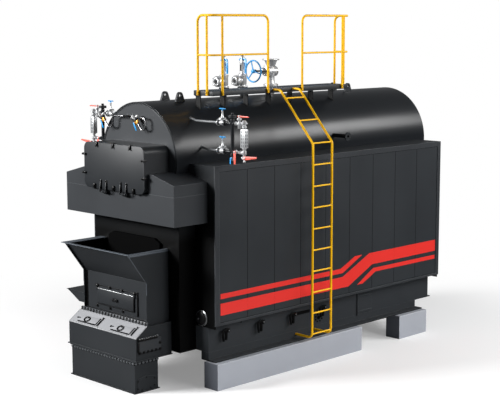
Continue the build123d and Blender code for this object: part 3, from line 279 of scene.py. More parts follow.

# Sills and chassis: long steel beams, painted shade black along the foot, and a welded box
# that holds the grate and its air ducts, sprayed with the same charcoal enamel as the casing
# above.
charcoal = paint(
    "charcoal_enamel", (0.0185, 0.0208, 0.0235), 0.42, edge=(0.07, 0.08, 0.085),
    specular=0.28,
)
skirt_charcoal = paint(
    "skirt_charcoal", (0.0240, 0.0270, 0.0305), 0.42, edge=(0.08, 0.09, 0.095), specular=0.28,
)


def by_height(tree, low, high, least, most=1.0):
    """A number that rises from the least to the most between two heights."""
    place = node(tree, "ShaderNodeTexCoord").outputs["Object"]
    up = node(tree, "ShaderNodeSeparateXYZ", Vector=place).outputs["Z"]
    return node(tree, "ShaderNodeMapRange", Value=up, From_Min=low, From_Max=high,
                To_Min=least, To_Max=most).outputs[0]


def scaled(tree, vector, factor):
    """A vector or a colour times a number, each of them a socket or plain."""
    made = node(tree, "ShaderNodeVectorMath")
    made.operation = "SCALE"
    give(tree, made.inputs[0], vector)
    give(tree, made.inputs["Scale"], factor)
    return made.outputs[0]


def shaded_below(material, name, low, high, least, shine=0.12):
    """A copy of a coating with painted shade that darkens it from one height down to another."""
    shaded_copy = material.copy()
    shaded_copy.name = name
    tree = shaded_copy.node_tree
    shader = tree.nodes["Principled BSDF"]
    unshaded = shader.inputs["Base Color"].links[0].from_socket
    tree.links.new(
        scaled(tree, unshaded, by_height(tree, low, high, least)), shader.inputs["Base Color"]
    )
    shader.inputs["Specular IOR Level"].default_value = shine
    return shaded_copy


coat(skirt_charcoal, "grate_chassis", "skirt_door")
# Painted shade: the sills turn nearly black over their lowest centimetre.
sill_charcoal = shaded_below(skirt_charcoal, "sill_charcoal", low=0.368, high=0.379, least=0.05,
                       shine=0.28)
coat(sill_charcoal, "sills")

# Damper levers: a fork of two forged legs on the end of each air damper's shaft, one
# straight and one bowed, dipped in black.
damper_backs = (0.322, 0.998, 1.652, 2.286)
damper_height = 0.738
fork_black = paint("fork_black", (0.0012, 0.0012, 0.0013), 0.45, specular=0.10)
black_steel = paint("black_steel", (0.005, 0.005, 0.0055), 0.36, edge=(0.02, 0.02, 0.021),
                    specular=0.28)
bright_steel = paint("bright_steel", (0.50, 0.51, 0.52), 0.28, broad=3, spread=0.06,
                     metallic=0.9)
casing_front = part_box("front_wall")[0].y
chassis_side = 1.150
rightward, backward, upward = Vector((1, 0, 0)), Vector((0, 1, 0)), Vector((0, 0, 1))
frontward = Vector((0, -1, 0))


def spot(across, back, up):
    """A point across from the middle, back from the casing's front and up from the floor."""
    return Vector((across, casing_front + back, up))


def slab(shape, outline, depth):
    """A flat plate: its outline as points in space, thickened along a vector."""
    near = [shape.verts.new(point) for point in outline]
    far = [shape.verts.new(point + depth) for point in outline]
    shape.faces.new(near)
    shape.faces.new(list(reversed(far)))
    for index in range(len(near)):
        after = (index + 1) % len(near)
        shape.faces.new((near[after], near[index], far[index], far[after]))


def plate(shape, place, depth, outline, mirror=1):
    """A slab square to the boiler. Its outline lies beside a place, in the two directions
    that its depth doesn't run in, and a mirror of -1 puts it on the left side."""
    facing = [index for index, size in enumerate(depth) if size][0]
    points = []
    for pair in outline:
        steps = [*pair[:facing], 0, *pair[facing:]]
        across, back, up = (start + step for start, step in zip(place, steps))
        points.append(spot(mirror * across, back, up))
    slab(shape, points, Vector((mirror * depth[0], *depth[1:])))


def oblong(low, high, foot, head):
    """The corners of a rectangle, as an outline."""
    return (low, foot), (high, foot), (high, head), (low, head)


def turned(shape, foot, axis, profile, sides=32, ring=False):
    """A lathe-turned solid from (distance along the axis, radius) pairs; a ring is hollow."""
    along = Vector(axis).normalized()
    across = along.orthogonal().normalized()
    other = along.cross(across)
    rounds = []
    for distance, radius in profile:
        centre = foot + distance * along
        if radius < 1e-6:
            rounds.append([shape.verts.new(centre)])
            continue
        rounds.append([
            shape.verts.new(centre + radius * (
                math.cos(2 * math.pi * side / sides) * across
                + math.sin(2 * math.pi * side / sides) * other
            ))
            for side in range(sides)
        ])
    pairs = list(zip(rounds, rounds[1:]))
    if ring:
        pairs.append((rounds[-1], rounds[0]))
    for lower, upper in pairs:
        for side in range(sides):
            after = (side + 1) % sides
            corners = dict.fromkeys((
                lower[side % len(lower)], lower[after % len(lower)],
                upper[after % len(upper)], upper[side % len(upper)],
            ))
            if len(corners) > 2:
                shape.faces.new(tuple(corners))
    if not ring:
        for end in (rounds[0], rounds[-1]):
            if len(end) > 1:
                shape.faces.new(end)


def piece(name, shape, coating, body, slot, *nodes, soften=0.0, crease=35):
    """Close a shape into a named piece, coat it, and let it ride on a body of the frame."""
    data = bpy.data.meshes.new(name)
    bmesh.ops.recalc_face_normals(shape, faces=shape.faces)
    shape.to_mesh(data)
    shape.free()
    made = bpy.data.objects.new(name, data)
    bpy.context.scene.collection.objects.link(made)
    if soften:
        rounding = made.modifiers.new("rounding", "BEVEL")
        rounding.width = soften
        rounding.segments = 2
        rounding.limit_method = "ANGLE"
        rounding.angle_limit = math.radians(crease)
        looked_at = made.evaluated_get(bpy.context.evaluated_depsgraph_get())
        made.data = bpy.data.meshes.new_from_object(looked_at)
        made.modifiers.clear()
        bpy.data.meshes.remove(data)
        made.data.name = name
    for face in made.data.polygons:
        face.use_smooth = True
    made.data.set_sharp_from_angle(angle=math.radians(crease))
    made.data.materials.clear()
    made.data.materials.append(coating)
    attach(made, body)
    if nodes:
        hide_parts(*nodes)


for number, back in enumerate(damper_backs, start=1):
    fork = bmesh.new()
    turned(fork, spot(chassis_side + 0.003, back, damper_height), rightward, [
        (0, 0.013), (0.034, 0.013), (0.036, 0.026), (0.053, 0.026), (0.055, 0.023),
        (0.055, 0)], 24)
    plate(fork, (chassis_side + 0.044, back, damper_height), (0.014, 0, 0), (
        (0.014, 0.034), (0.018, 0.010), (0.004, -0.020), (-0.020, -0.026), (-0.022, -0.118),
        (-0.030, -0.126), (-0.056, -0.126), (-0.064, -0.118), (-0.064, -0.006),
        (-0.076, 0.002), (-0.086, -0.006), (-0.086, -0.056), (-0.074, -0.130),
        (-0.078, -0.138), (-0.098, -0.138), (-0.104, -0.130), (-0.118, -0.060),
        (-0.124, -0.012), (-0.118, 0.006), (-0.100, 0.018), (-0.060, 0.030),
        (-0.020, 0.038),
    ))
    hub = bmesh.new()
    turned(hub, spot(chassis_side + 0.0585, back + 0.004, damper_height), rightward, [
        (0, 0.009), (0.004, 0.010), (0.007, 0.007), (0.007, 0)], 16)
    piece(f"damper_hub_{number}", hub, bright_steel, f"damper_lever_{number}", "dark_steel",
          f"damper_lever_{number}")
    piece(f"damper_fork_{number}", fork, fork_black, f"damper_lever_{number}", "dark_steel",
          f"damper_lever_{number}", soften=0.0015)

# Skirt fittings: a blank flange on the right of the chassis, held by a ring of bolts round
# its plug, with a flat black bar beside it and a small drain hole near the front.
skirt_bits = bmesh.new()
plate(skirt_bits, (chassis_side, 0, 0), (0.008, 0, 0), (
    (1.748, 0.702), (1.996, 0.702), (2.004, 0.710), (2.004, 0.740), (1.996, 0.748),
    (1.748, 0.748), (1.740, 0.740), (1.740, 0.710),
))
turned(skirt_bits, spot(chassis_side, 0.612, 0.797), rightward, [
    (0, 0.013), (0.001, 0.013), (0.001, 0)], 20)
plug_centre = spot(chassis_side, 2.201, 0.587)
turned(skirt_bits, plug_centre, rightward, [
    (0, 0.026), (0.012, 0.026), (0.016, 0.020), (0.016, 0)], 20)
for number in range(8):
    turn = 2 * math.pi * (number + 0.5) / 8
    bolt = plug_centre + 0.074 * math.cos(turn) * backward + 0.056 * math.sin(turn) * upward
    turned(skirt_bits, bolt, rightward, [
        (0, 0.012), (0.010, 0.012), (0.013, 0.008), (0.013, 0)], 6)
piece("skirt_fittings", skirt_bits, fork_black, "boiler", "dark_steel")


# Casing: the insulated body, clad in nine flat steel sheets a side within raised frames,
# all in charcoal enamel. Small flat-headed screws along the frames hold the sheets.
wall_charcoal = paint(
    "wall_charcoal", (0.024, 0.027, 0.0305), 0.42, edge=(0.08, 0.09, 0.095), specular=0.28,
)
coat(wall_charcoal, "casing_core", "side_panels_left", "side_panels_right", "rear_wall")
# Painted shade: the front wall darkens downwards to near black below the header.
coat(shaded_below(wall_charcoal, "wall_shaded_low", low=2.25, high=3.15, least=0.04), "front_wall")
frame_charcoal = paint(
    "frame_charcoal", (0.030, 0.033, 0.037), 0.42, edge=(0.13, 0.14, 0.15), rounding=0.006,
    specular=0.28,
)
coat(frame_charcoal, "side_frame_left", "side_frame_right")


def tree_with(name, **inputs):
    """A Geometry Nodes tree with named inputs after its geometry, as (kind, value) pairs."""
    tree = bpy.data.node_groups.new(name, "GeometryNodeTree")
    sockets = tree.interface
    sockets.new_socket("Geometry", in_out="INPUT", socket_type="NodeSocketGeometry")
    for label, (kind, value) in inputs.items():
        made = sockets.new_socket(label, in_out="INPUT", socket_type=f"NodeSocket{kind}")
        if value is not None:
            made.default_value = value
    sockets.new_socket("Geometry", in_out="OUTPUT", socket_type="NodeSocketGeometry")
    return tree, tree.nodes.new("NodeGroupInput"), tree.nodes.new("NodeGroupOutput")


def settle(tree, geometry, coating, way_out):
    """End a tree with real geometry and its coating."""
    solid = node(tree, "GeometryNodeRealizeInstances", Geometry=geometry)
    coated = node(tree, "GeometryNodeSetMaterial", Geometry=solid.outputs[0], Material=coating)
    tree.links.new(coated.outputs[0], way_out.inputs[0])


def grow(shape, tree, seed, place=Matrix(), **sizes):
    """Add to a shape what a tree makes of a seed mesh, with its inputs set, at a place."""
    holder = bpy.data.objects.new("holder", seed)
    bpy.context.scene.collection.objects.link(holder)
    maker = holder.modifiers.new("maker", "NODES")
    maker.node_group = tree
    for socket in tree.interface.items_tree:
        if socket.in_out == "INPUT" and socket.name in sizes:
            maker[socket.identifier] = sizes[socket.name]
    looked_at = holder.evaluated_get(bpy.context.evaluated_depsgraph_get())
    result = bpy.data.meshes.new_from_object(looked_at)
    result.transform(place)
    shape.from_mesh(result)
    holder.modifiers.clear()
    bpy.data.objects.remove(holder)
    for used_up in (seed, result):
        bpy.data.meshes.remove(used_up)


# The tree sets a many-sided head with its washer on every point, along the direction that
# the point carries, each turned a little differently.
heads_tree, heads_in, heads_out = tree_with(
    "fastener_heads", Corners=("Int", 6), Across=("Float", 0.02), Height=("Float", 0.01),
    Washer=("Float", 0.03), Coating=("Material", None),
)


def half(tree, number):
    """Half of a number."""
    return worked_out(tree, "MULTIPLY", number, 0.5)


def lifted(tree, geometry, height):
    """Geometry moved up by a number."""
    rise = node(tree, "ShaderNodeCombineXYZ", Z=height)
    return node(tree, "GeometryNodeTransform", Geometry=geometry,
                Translation=rise.outputs[0]).outputs[0]


half_height = half(heads_tree, heads_in.outputs["Height"])
head_shape = node(
    heads_tree, "GeometryNodeMeshCylinder", Vertices=heads_in.outputs["Corners"],
    Radius=half(heads_tree, heads_in.outputs["Across"]), Depth=heads_in.outputs["Height"],
)
washer_shape = node(
    heads_tree, "GeometryNodeMeshCylinder", Vertices=14,
    Radius=half(heads_tree, heads_in.outputs["Washer"]), Depth=half_height,
)
both = node(heads_tree, "GeometryNodeJoinGeometry")
for shape in (lifted(heads_tree, head_shape.outputs["Mesh"], half_height),
              washer_shape.outputs["Mesh"]):
    heads_tree.links.new(shape, both.inputs[0])
out_direction = node(heads_tree, "GeometryNodeInputNamedAttribute", Name="out")
out_direction.data_type = "FLOAT_VECTOR"
faced = node(heads_tree, "FunctionNodeAlignRotationToVector",
             Vector=out_direction.outputs["Attribute"])
faced.axis = "Z"
on_points = node(
    heads_tree, "GeometryNodeInstanceOnPoints", Points=heads_in.outputs["Geometry"],
    Instance=both.outputs[0], Rotation=faced.outputs[0],
)
spin = node(heads_tree, "FunctionNodeRandomValue", Seed=4)
spin.data_type = "FLOAT"
spin.inputs[3].default_value = math.radians(60)
spin_about = node(heads_tree, "ShaderNodeCombineXYZ", Z=spin.outputs[1])
spun = node(heads_tree, "GeometryNodeRotateInstances", Instances=on_points.outputs[0],
            Rotation=spin_about.outputs[0])
settle(heads_tree, spun.outputs[0], heads_in.outputs["Coating"], heads_out)


def fasteners(name, places, across, coating, body, slot, corners=6, tall=0.6):
    """Bolt heads or nuts with washers, from (point, outward direction) pairs."""
    seed = bpy.data.meshes.new(name)
    seed.from_pydata([point for point, outward in places], [], [])
    directions = seed.attributes.new("out", "FLOAT_VECTOR", "POINT")
    for index, (point, outward) in enumerate(places):
        directions.data[index].vector = outward
    shape = bmesh.new()
    grow(shape, heads_tree, seed, Corners=corners, Across=across, Height=across * tall,
         Washer=across * 1.45, Coating=coating)
    piece(name, shape, coating, body, slot)


def spaced(low, high, count):
    """Numbers at even steps from low to high."""
    return [low + (high - low) * number / (count - 1) for number in range(count)]


def bolt_circle(centre, outward, radius, count, start=0.5):
    """Places for bolts round a flange, the first a share of a step on from level."""
    first, second = (axis for axis in (rightward, backward, upward) if not axis.dot(outward))
    turns = [2 * math.pi * (number + start) / count for number in range(count)]
    return [(centre + radius * (math.cos(turn) * first + math.sin(turn) * second), outward)
            for turn in turns]


both_sides = ((1, "right"), (-1, "left"))
sheet_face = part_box("side_panels_right")[1].x
frame_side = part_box("side_frame_right")[1].x
casing_foot, casing_crown = 0.860, 3.008
casing_length = 4.910
sheet_count = 9
sheet_start = 0.075
sheet_pitch = (casing_length - 2 * sheet_start) / sheet_count
frame_middle = 0.0375
lower_middle = 0.0165
for side, side_name in both_sides:
    outward = side * rightward
    screws = []
    for back in spaced(sheet_start, casing_length - sheet_start, 2 * sheet_count + 1):
        for height in (casing_foot + lower_middle, casing_crown - frame_middle):
            screws.append((spot(side * frame_side, back, height), outward))
    for height in spaced(casing_foot, casing_crown, 9)[1:-1]:
        for back in (frame_middle, casing_length - frame_middle):
            screws.append((spot(side * frame_side, back, height), outward))
    fasteners(f"frame_screws_{side_name}", screws, 0.013, charcoal, "boiler", "charcoal_paint",
              corners=8, tall=0.25)

# Panel joints: flat black strips of sealing rubber, let in between the sheets and along
# the frames, a hair proud of the sheets.
seam_black = paint("seam_black", (0.004, 0.0045, 0.005), 0.6, specular=0.1)
strip_foot, strip_head = 0.893, 2.933
strip_half, strip_proud = 0.0035, 0.0003
for side, side_name in both_sides:
    seams = bmesh.new()
    for number in range(sheet_count + 1):
        plate(seams, (sheet_face, sheet_start + number * sheet_pitch, 0), (strip_proud, 0, 0),
              oblong(-0.0045, 0.0045, strip_foot, strip_head), side)
    for height in (strip_foot + strip_half, strip_head - strip_half):
        plate(seams, (sheet_face, 0, height), (strip_proud, 0, 0),
              oblong(0.080, 4.830, -strip_half, strip_half), side)
    piece(f"panel_seams_{side_name}", seams, seam_black, "boiler", "charcoal_paint")

# Red bands: a wide and two narrow stripes of red film, stuck on, that step up along each
# side and are cut at every joint between the sheets.
band_red = paint("band_red", (0.71, 0.028, 0.021), 0.42, spread=0.03, specular=0.3)
film = 0.0007
joint = 0.0012
band_outlines = (
    ((0.097, 1.220), (2.572, 1.216), (3.018, 1.433), (2.852, 1.433), (2.528, 1.287),
     (0.097, 1.290)),
    ((0.095, 0.993), (2.706, 0.998), (3.255, 1.256), (4.817, 1.258), (4.817, 1.436),
     (3.183, 1.434), (2.573, 1.160), (0.095, 1.158)),
    ((2.903, 0.991), (3.035, 0.991), (3.333, 1.133), (4.812, 1.130), (4.812, 1.193),
     (3.277, 1.194)),
)


def kept_side(outline, edge, keep_after):
    """The part of an outline that lies after, or before, an upright line."""
    kept = []
    for (back, height), (next_back, next_height) in zip(outline, outline[1:] + outline[:1]):
        inside = (back >= edge) == keep_after
        if inside:
            kept.append((back, height))
        if inside != ((next_back >= edge) == keep_after):
            share = (edge - back) / (next_back - back)
            kept.append((edge, height + share * (next_height - height)))
    return kept


for side, side_name in both_sides:
    bands = bmesh.new()
    for outline in band_outlines:
        for number in range(sheet_count):
            start = sheet_start + number * sheet_pitch + joint / 2
            cut = kept_side(outline, start, True)
            cut = kept_side(cut, start + sheet_pitch - joint, False)
            if len(cut) > 2:
                plate(bands, (sheet_face, 0, 0), (film, 0, 0), cut, side)
    piece(f"red_bands_{side_name}", bands, band_red, "boiler", "charcoal_paint")

# Drum: a rolled steel shell with a flat head welded in each end, the weld ground to a
# small rounded bead, all in the same charcoal enamel as the casing but glossier.
drum_gloss = paint(
    "drum_enamel", (0.013, 0.0145, 0.0165), 0.29, broad=0.6, edge=(0.10, 0.11, 0.115),
    rounding=0.004, specular=0.26,
)
# Painted shade: the enamel's reflection fades almost to nothing low on the drum's flanks.
drum_tree = drum_gloss.node_tree
dull_below, glossy_above = 3.08, 3.38
drum_tree.links.new(
    by_height(drum_tree, dull_below, glossy_above, least=0.01, most=0.34),
    drum_tree.nodes["Principled BSDF"].inputs["Specular IOR Level"],
)
drum_radius = 0.797
drum_wall = 0.020
drum_axis = 3.013
drum_front, drum_rear = -0.222, 5.134
shell = bmesh.new()
turned(shell, spot(0, drum_front, drum_axis), backward, [
    (0.000, drum_radius - drum_wall), (0.000, drum_radius - 0.003), (0.003, drum_radius),
    (drum_rear - drum_front - 0.003, drum_radius), (drum_rear - drum_front, drum_radius - 0.003),
    (drum_rear - drum_front, drum_radius - drum_wall),
], 160, ring=True)
piece("drum_body", shell, drum_gloss, "boiler", "charcoal_paint", "drum_shell", crease=30)
head_enamel = paint(
    "head_enamel", (0.034, 0.037, 0.041), 0.36, broad=0.6, edge=(0.12, 0.13, 0.135),
    specular=0.35,
)
for name, back, way in (("drum_front", drum_front, 1), ("drum_rear", drum_rear, -1)):
    head = bmesh.new()
    turned(head, spot(0, back, drum_axis), way * backward, [
        (0.006, 0), (0.006, 0.760), (0.001, 0.7625), (-0.0005, 0.767), (0.001, 0.7715),
        (0.006, 0.774), (0.024, 0.774), (0.024, 0),
    ], 160)
    piece(f"{name}_plate", head, head_enamel, "boiler", "charcoal_paint", f"{name}_head",
          crease=50)


# Header box: the welded smoke collector across the boiler's front, with a sloping
# shoulder on each side of the smoke box. Painted shade darkens the neck below it.
coat(frame_charcoal, "header_box", "header_shoulders")
coat(charcoal, "smoke_box")
coat(shaded_below(charcoal, "neck_charcoal", low=1.98, high=2.50, least=0.02), "front_neck")

# Tube sheet: the ends of the fire tubes, rolled into the drum's head behind the smoke box
# door, in bare steel that the smoke has browned.
tube_steel = paint("tube_steel", (0.10, 0.085, 0.075), 0.5, broad=6, spread=0.25,
                   metallic=0.6, edge=(0.25, 0.22, 0.20))
tube_outer, tube_bore, tube_proud = 0.0255, 0.0215, 0.008
tubes_tree, tubes_in, tubes_out = tree_with(
    "tube_ends", Rows=("Int", 6), Columns=("Int", 15), Pitch=("Float", 0.076),
    Outer=("Float", tube_outer), Bore=("Float", tube_bore), Proud=("Float", tube_proud),
    Coating=("Material", None),
)


def even_grid(tree, way_in):
    """A grid of points with the columns, rows and pitch that the tree is given."""
    grid = node(tree, "GeometryNodeMeshGrid")
    for direction, count in (("X", "Columns"), ("Y", "Rows")):
        gaps = worked_out(tree, "SUBTRACT", way_in.outputs[count], 1)
        reach = worked_out(tree, "MULTIPLY", gaps, way_in.outputs["Pitch"])
        tree.links.new(way_in.outputs[count], grid.inputs[f"Vertices {direction}"])
        tree.links.new(reach, grid.inputs[f"Size {direction}"])
    return grid.outputs["Mesh"]


wall_path = node(tubes_tree, "GeometryNodeCurvePrimitiveCircle", Resolution=20,
                 Radius=tubes_in.outputs["Outer"])
wall = worked_out(tubes_tree, "SUBTRACT", tubes_in.outputs["Outer"], tubes_in.outputs["Bore"])
lip = node(tubes_tree, "GeometryNodeCurvePrimitiveQuadrilateral", Width=wall,
           Height=tubes_in.outputs["Proud"])
tube_end = node(tubes_tree, "GeometryNodeCurveToMesh", Curve=wall_path.outputs["Curve"],
                Profile_Curve=lip.outputs["Curve"])
tube_ends = node(tubes_tree, "GeometryNodeInstanceOnPoints",
                 Points=even_grid(tubes_tree, tubes_in), Instance=tube_end.outputs[0])
settle(tubes_tree, tube_ends.outputs[0], tubes_in.outputs["Coating"], tubes_out)
tube_sheet = bmesh.new()
tube_middle = 2.949
upright = Matrix.Rotation(math.pi / 2, 4, "X")
grow(tube_sheet, tubes_tree, bpy.data.meshes.new("tube_seed"), Matrix.Translation(
    spot(0, drum_front - tube_proud / 2, tube_middle)) @ upright, Coating=tube_steel)
piece("tube_ends", tube_sheet, tube_steel, "boiler", "dark_steel")

# Smoke box door: a flat plate with rolled corners over the smoke box, hung at the bottom
# on two pairs of straps, held shut round its edge by black clamps.
door_half, door_foot, door_head = 0.642, 2.633, 3.265
door_back, door_face = -0.641, -0.655
door_corner = 0.095


def rounded_outline(half_width, foot, head, radius, back, steps=10):
    """Points of an upright rectangle with round corners, at a distance back."""
    points = []
    for across_side, up_side, start in ((1, 1, 0), (-1, 1, 90), (-1, -1, 180), (1, -1, 270)):
        centre_x = across_side * (half_width - radius)
        centre_z = (head if up_side > 0 else foot) - up_side * radius
        for step in range(steps + 1):
            turn = math.radians(start + 90 * step / steps)
            points.append(spot(
                centre_x + radius * math.cos(turn), back, centre_z + radius * math.sin(turn)
            ))
    return points


door = bmesh.new()
slab(door, rounded_outline(door_half, door_foot, door_head, door_corner, door_back),
     Vector((0, door_face - door_back, 0)))
strap_profile = (
    (-0.655, 2.763), (-0.655, 2.633), (-0.664, 2.600), (-0.668, 2.592), (-0.678, 2.594),
    (-0.687, 2.603), (-0.686, 2.640), (-0.669, 2.763),
)
strap_places = [middle + step for middle in (-0.214, 0.214) for step in (-0.060, 0.060)]
for across in strap_places:
    plate(door, (across - 0.008, 0, 0), (0.016, 0, 0), strap_profile)
piece("smoke_door_plate", door, charcoal, "smoke_box_door", "charcoal_paint", "smoke_box_door",
      soften=0.0022)

door_clamps = bmesh.new()
for across in (-0.349, 0.003, 0.360):
    plate(door_clamps, (across - 0.012, 0, 0), (0.024, 0, 0), (
        (-0.654, 3.262), (-0.645, 3.268), (-0.618, 3.266), (-0.618, 3.276), (-0.652, 3.282),
        (-0.672, 3.274), (-0.680, 3.256), (-0.680, 3.226), (-0.690, 3.214), (-0.684, 3.206),
        (-0.668, 3.214), (-0.664, 3.234),
    ))
    turned(door_clamps, spot(across, door_face, 3.228), frontward, [
        (0, 0.017), (0.006, 0.017), (0.008, 0.012), (0.030, 0.012), (0.031, 0)], 12)
for side, heights in ((-1, (3.092, 2.837)), (1, (3.083, 2.849))):
    for height in heights:
        plate(door_clamps, (0, 0, height - 0.013), (0, 0, 0.026), (
            (0.596, -0.654), (0.592, -0.676), (0.626, -0.684), (0.664, -0.676), (0.668, -0.628),
            (0.655, -0.624), (0.650, -0.654),
        ), side)
        turned(door_clamps, spot(side * 0.628, -0.676, height), frontward, [
            (0, 0.015), (0.010, 0.015), (0.012, 0.009), (0.028, 0.009), (0.029, 0)], 12)
for across in (-0.406, 0.008, 0.428):
    plate(door_clamps, (across - 0.014, 0, 0), (0.028, 0, 0), (
        (-0.654, 2.700), (-0.670, 2.704), (-0.684, 2.690), (-0.688, 2.664), (-0.680, 2.640),
        (-0.662, 2.624), (-0.640, 2.622), (-0.640, 2.632), (-0.658, 2.638), (-0.668, 2.652),
        (-0.670, 2.672), (-0.664, 2.686), (-0.654, 2.688),
    ))
    turned(door_clamps, spot(across, door_face, 2.690), frontward, [
        (0, 0.016), (0.008, 0.016), (0.010, 0.010), (0.028, 0.010), (0.029, 0)], 12)
piece("smoke_door_clamps", door_clamps, black_steel, "smoke_box_door", "dark_steel",
      soften=0.0015)

strap_bolts = [(spot(across, -0.672, 2.745), Vector((0, -1, 0.1))) for across in strap_places]
fasteners("strap_bolts", strap_bolts, 0.014, black_steel, "smoke_box_door", "dark_steel")
coat(charcoal, "door_hinges")

# Feed chute: a welded box that drops the coal on the grate. Its front plate stands a
# little behind its cheeks, with a hinged feed door that has a bright rod and latches.
coat(charcoal, "chute_cheek_left", "chute_cheek_right", "chute_front")
chute_face = -0.650
feed_top, feed_foot, feed_half = 1.236, 1.020, 0.400
flap = bmesh.new()
plate(flap, (0, chute_face - 0.001, 0), (0, -0.008, 0),
      oblong(-feed_half, feed_half, feed_foot, feed_top))
piece("feed_flap", flap, charcoal, "feed_door", "charcoal_paint", "feed_door", soften=0.0015)
flap_irons = bmesh.new()
plate(flap_irons, (0, chute_face - 0.009, 0), (0, -0.012, 0), (
    (-feed_half + 0.004, feed_foot), (feed_half, feed_foot), (feed_half, feed_top - 0.004),
    (feed_half - 0.012, feed_top - 0.004), (feed_half - 0.012, feed_foot + 0.013),
    (-feed_half + 0.004, feed_foot + 0.013),
))
turned(flap_irons, spot(0, chute_face - 0.009, 1.124), frontward, [
    (0, 0.022), (0.010, 0.022), (0.014, 0.014), (0.026, 0.014), (0.028, 0)], 16)
for reach in (-1, 1):
    plate(flap_irons, (0, chute_face - 0.022, 0), (0, -0.010, 0), (
        (0.000, 1.113), (0.020, 1.116), (0.036, 1.097), (0.052, 1.104), (0.054, 1.140),
        (0.038, 1.152), (0.020, 1.132), (0.000, 1.136),
    ), reach)
piece("feed_flap_irons", flap_irons, black_steel, "feed_door", "dark_steel", soften=0.0015)
rod = bmesh.new()
turned(rod, spot(-0.415, chute_face - 0.009, feed_top), rightward, [
    (0, 0.006), (0.002, 0.008), (0.828, 0.008), (0.830, 0.006)], 16)
piece("feed_door_rod", rod, bright_steel, "feed_door", "dark_steel")

chute_trim = bmesh.new()
plate(chute_trim, (0, chute_face - 0.0005, 0), (0, -0.009, 0), oblong(-0.430, 0.455, 1.278, 1.288))
for across in (-0.399, -0.128, 0.142, 0.408):
    turned(chute_trim, spot(across - 0.020, chute_face - 0.014, 1.283), rightward, [
        (0, 0.012), (0.003, 0.017), (0.037, 0.017), (0.040, 0.012)], 16)
plate(chute_trim, (0, chute_face - 0.0005, 0), (0, -0.018, 0), (
    (0.450, 0.984), (0.450, 0.974), (0.476, 0.974), (0.476, 1.306), (0.450, 1.306),
    (0.450, 1.296), (0.464, 1.296), (0.464, 0.984),
))
plate(chute_trim, (0, chute_face - 0.0003, 0), (0, -0.010, 0),
      oblong(-0.667, 0.667, 0.9405, 0.9475))
piece("chute_trim", chute_trim, black_steel, "boiler", "dark_steel", soften=0.0012)
fasteners("feed_latch_bolts", [
    (spot(across, chute_face - 0.0005, 0.990), frontward)
    for across in (-0.409, -0.125, 0.152)
], 0.031, black_steel, "boiler", "dark_steel")

# Hopper: sloping plates that open the chute upwards, with a flat bar rim and a gate at
# the back that sets how much coal falls.
# Painted shade: the hopper's front plate darkens towards its foot.
coat(shaded_below(charcoal, "hopper_charcoal", low=1.38, high=1.66, least=0.5), "hopper_front")
# Painted shade: a near-black coat on thin liners inside the hopper and on the feed gate.
dark_shade = paint("painted_shade_black", (0.0018, 0.0018, 0.0019), 0.75, specular=0.02)
# Painted highlight: the rim and thin strips along the cheeks' edges are a lighter bluish grey.
rim_highlight_grey = paint("rim_highlight_grey", (0.085, 0.10, 0.12), 0.42, broad=3, edge=(0.22, 0.24, 0.26))
coat(rim_highlight_grey, "hopper_rim")
coat(dark_shade, "feed_gate")
liner_half = 0.666
hopper_rear, hopper_top = -0.292, 1.868
liners = bmesh.new()
plate(liners, (0, -0.6503, 0), (0, -0.003, 0), oblong(-0.667, -0.617, 0.948, 1.459))
for side in (-1, 1):
    plate(liners, (0.6672, 0, 0), (-0.0012, 0, 0), (
        (hopper_rear, 0.900), (hopper_rear, hopper_top), (-0.956, hopper_top),
        (-0.652, 1.461), (-0.636, 0.900),
    ), side)
plate(liners, (-liner_half, 0, 0), (2 * liner_half, 0, 0), (
    (-0.6345, 1.460), (-0.9385, hopper_top), (-0.9373, hopper_top), (-0.6333, 1.460),
))
plate(liners, (-liner_half, 0, 0), (2 * liner_half, 0, 0),
      oblong(-0.2912, -0.2924, 0.900, hopper_top))
piece("hopper_painted_shade", liners, dark_shade, "boiler", "dark_steel")
# Painted highlight: thin lighter strips along the cheeks' top and front edges.
cheek_edges = bmesh.new()
for side in (-1, 1):
    plate(cheek_edges, (0.6805, 0, 0), (0.003, 0, 0), (
        (hopper_rear, 1.846), (hopper_rear, hopper_top), (-0.984, hopper_top),
        (-0.682, 1.462), (-0.682, 1.300), (-0.672, 1.300), (-0.672, 1.452), (-0.958, 1.846),
    ), side)
piece("hopper_edges", cheek_edges, rim_highlight_grey, "boiler", "charcoal_paint", soften=0.001)

# Drive guard: the closed, flared sheet box over the grate's drive, welded to the left of
# the chute and sprayed with it.
coat(charcoal, "drive_guard")

# Grate front: the welded housing of the grate's front shaft, with a bolted hatch on each
# side and a double row of clamp nuts along the ledge behind its cover.
hatch_grey = paint("hatch_grey", (0.034, 0.037, 0.041), 0.42, edge=(0.11, 0.12, 0.13),
                   specular=0.28)
coat(charcoal, "grate_front")
coat(hatch_grey, "side_hatches")
ledge_half = 0.712
ledge = bmesh.new()
plate(ledge, (-ledge_half, 0, 0), (2 * ledge_half, 0, 0), (
    (-0.690, 0.889), (-0.712, 0.889), (-0.703, 0.938), (-0.681, 0.938),
))
ledge_grey = paint("ledge_grey", (0.058, 0.063, 0.070), 0.42, edge=(0.13, 0.14, 0.15))
piece("ledge_bar", ledge, ledge_grey, "boiler", "charcoal_paint", soften=0.0015)
ledge_out = Vector((0, -0.982, 0.186))
ledge_nuts = [
    (spot(across, back, height), ledge_out)
    for across in spaced(-0.690, 0.690, 22)
    for back, height in ((-0.7095, 0.903), (-0.7055, 0.925))
]
fasteners("ledge_nuts", ledge_nuts, 0.022, black_steel, "boiler", "dark_steel", corners=4,
          tall=0.55)
hatch_face = 0.738
hatch_bolts, hatch_studs = [], []
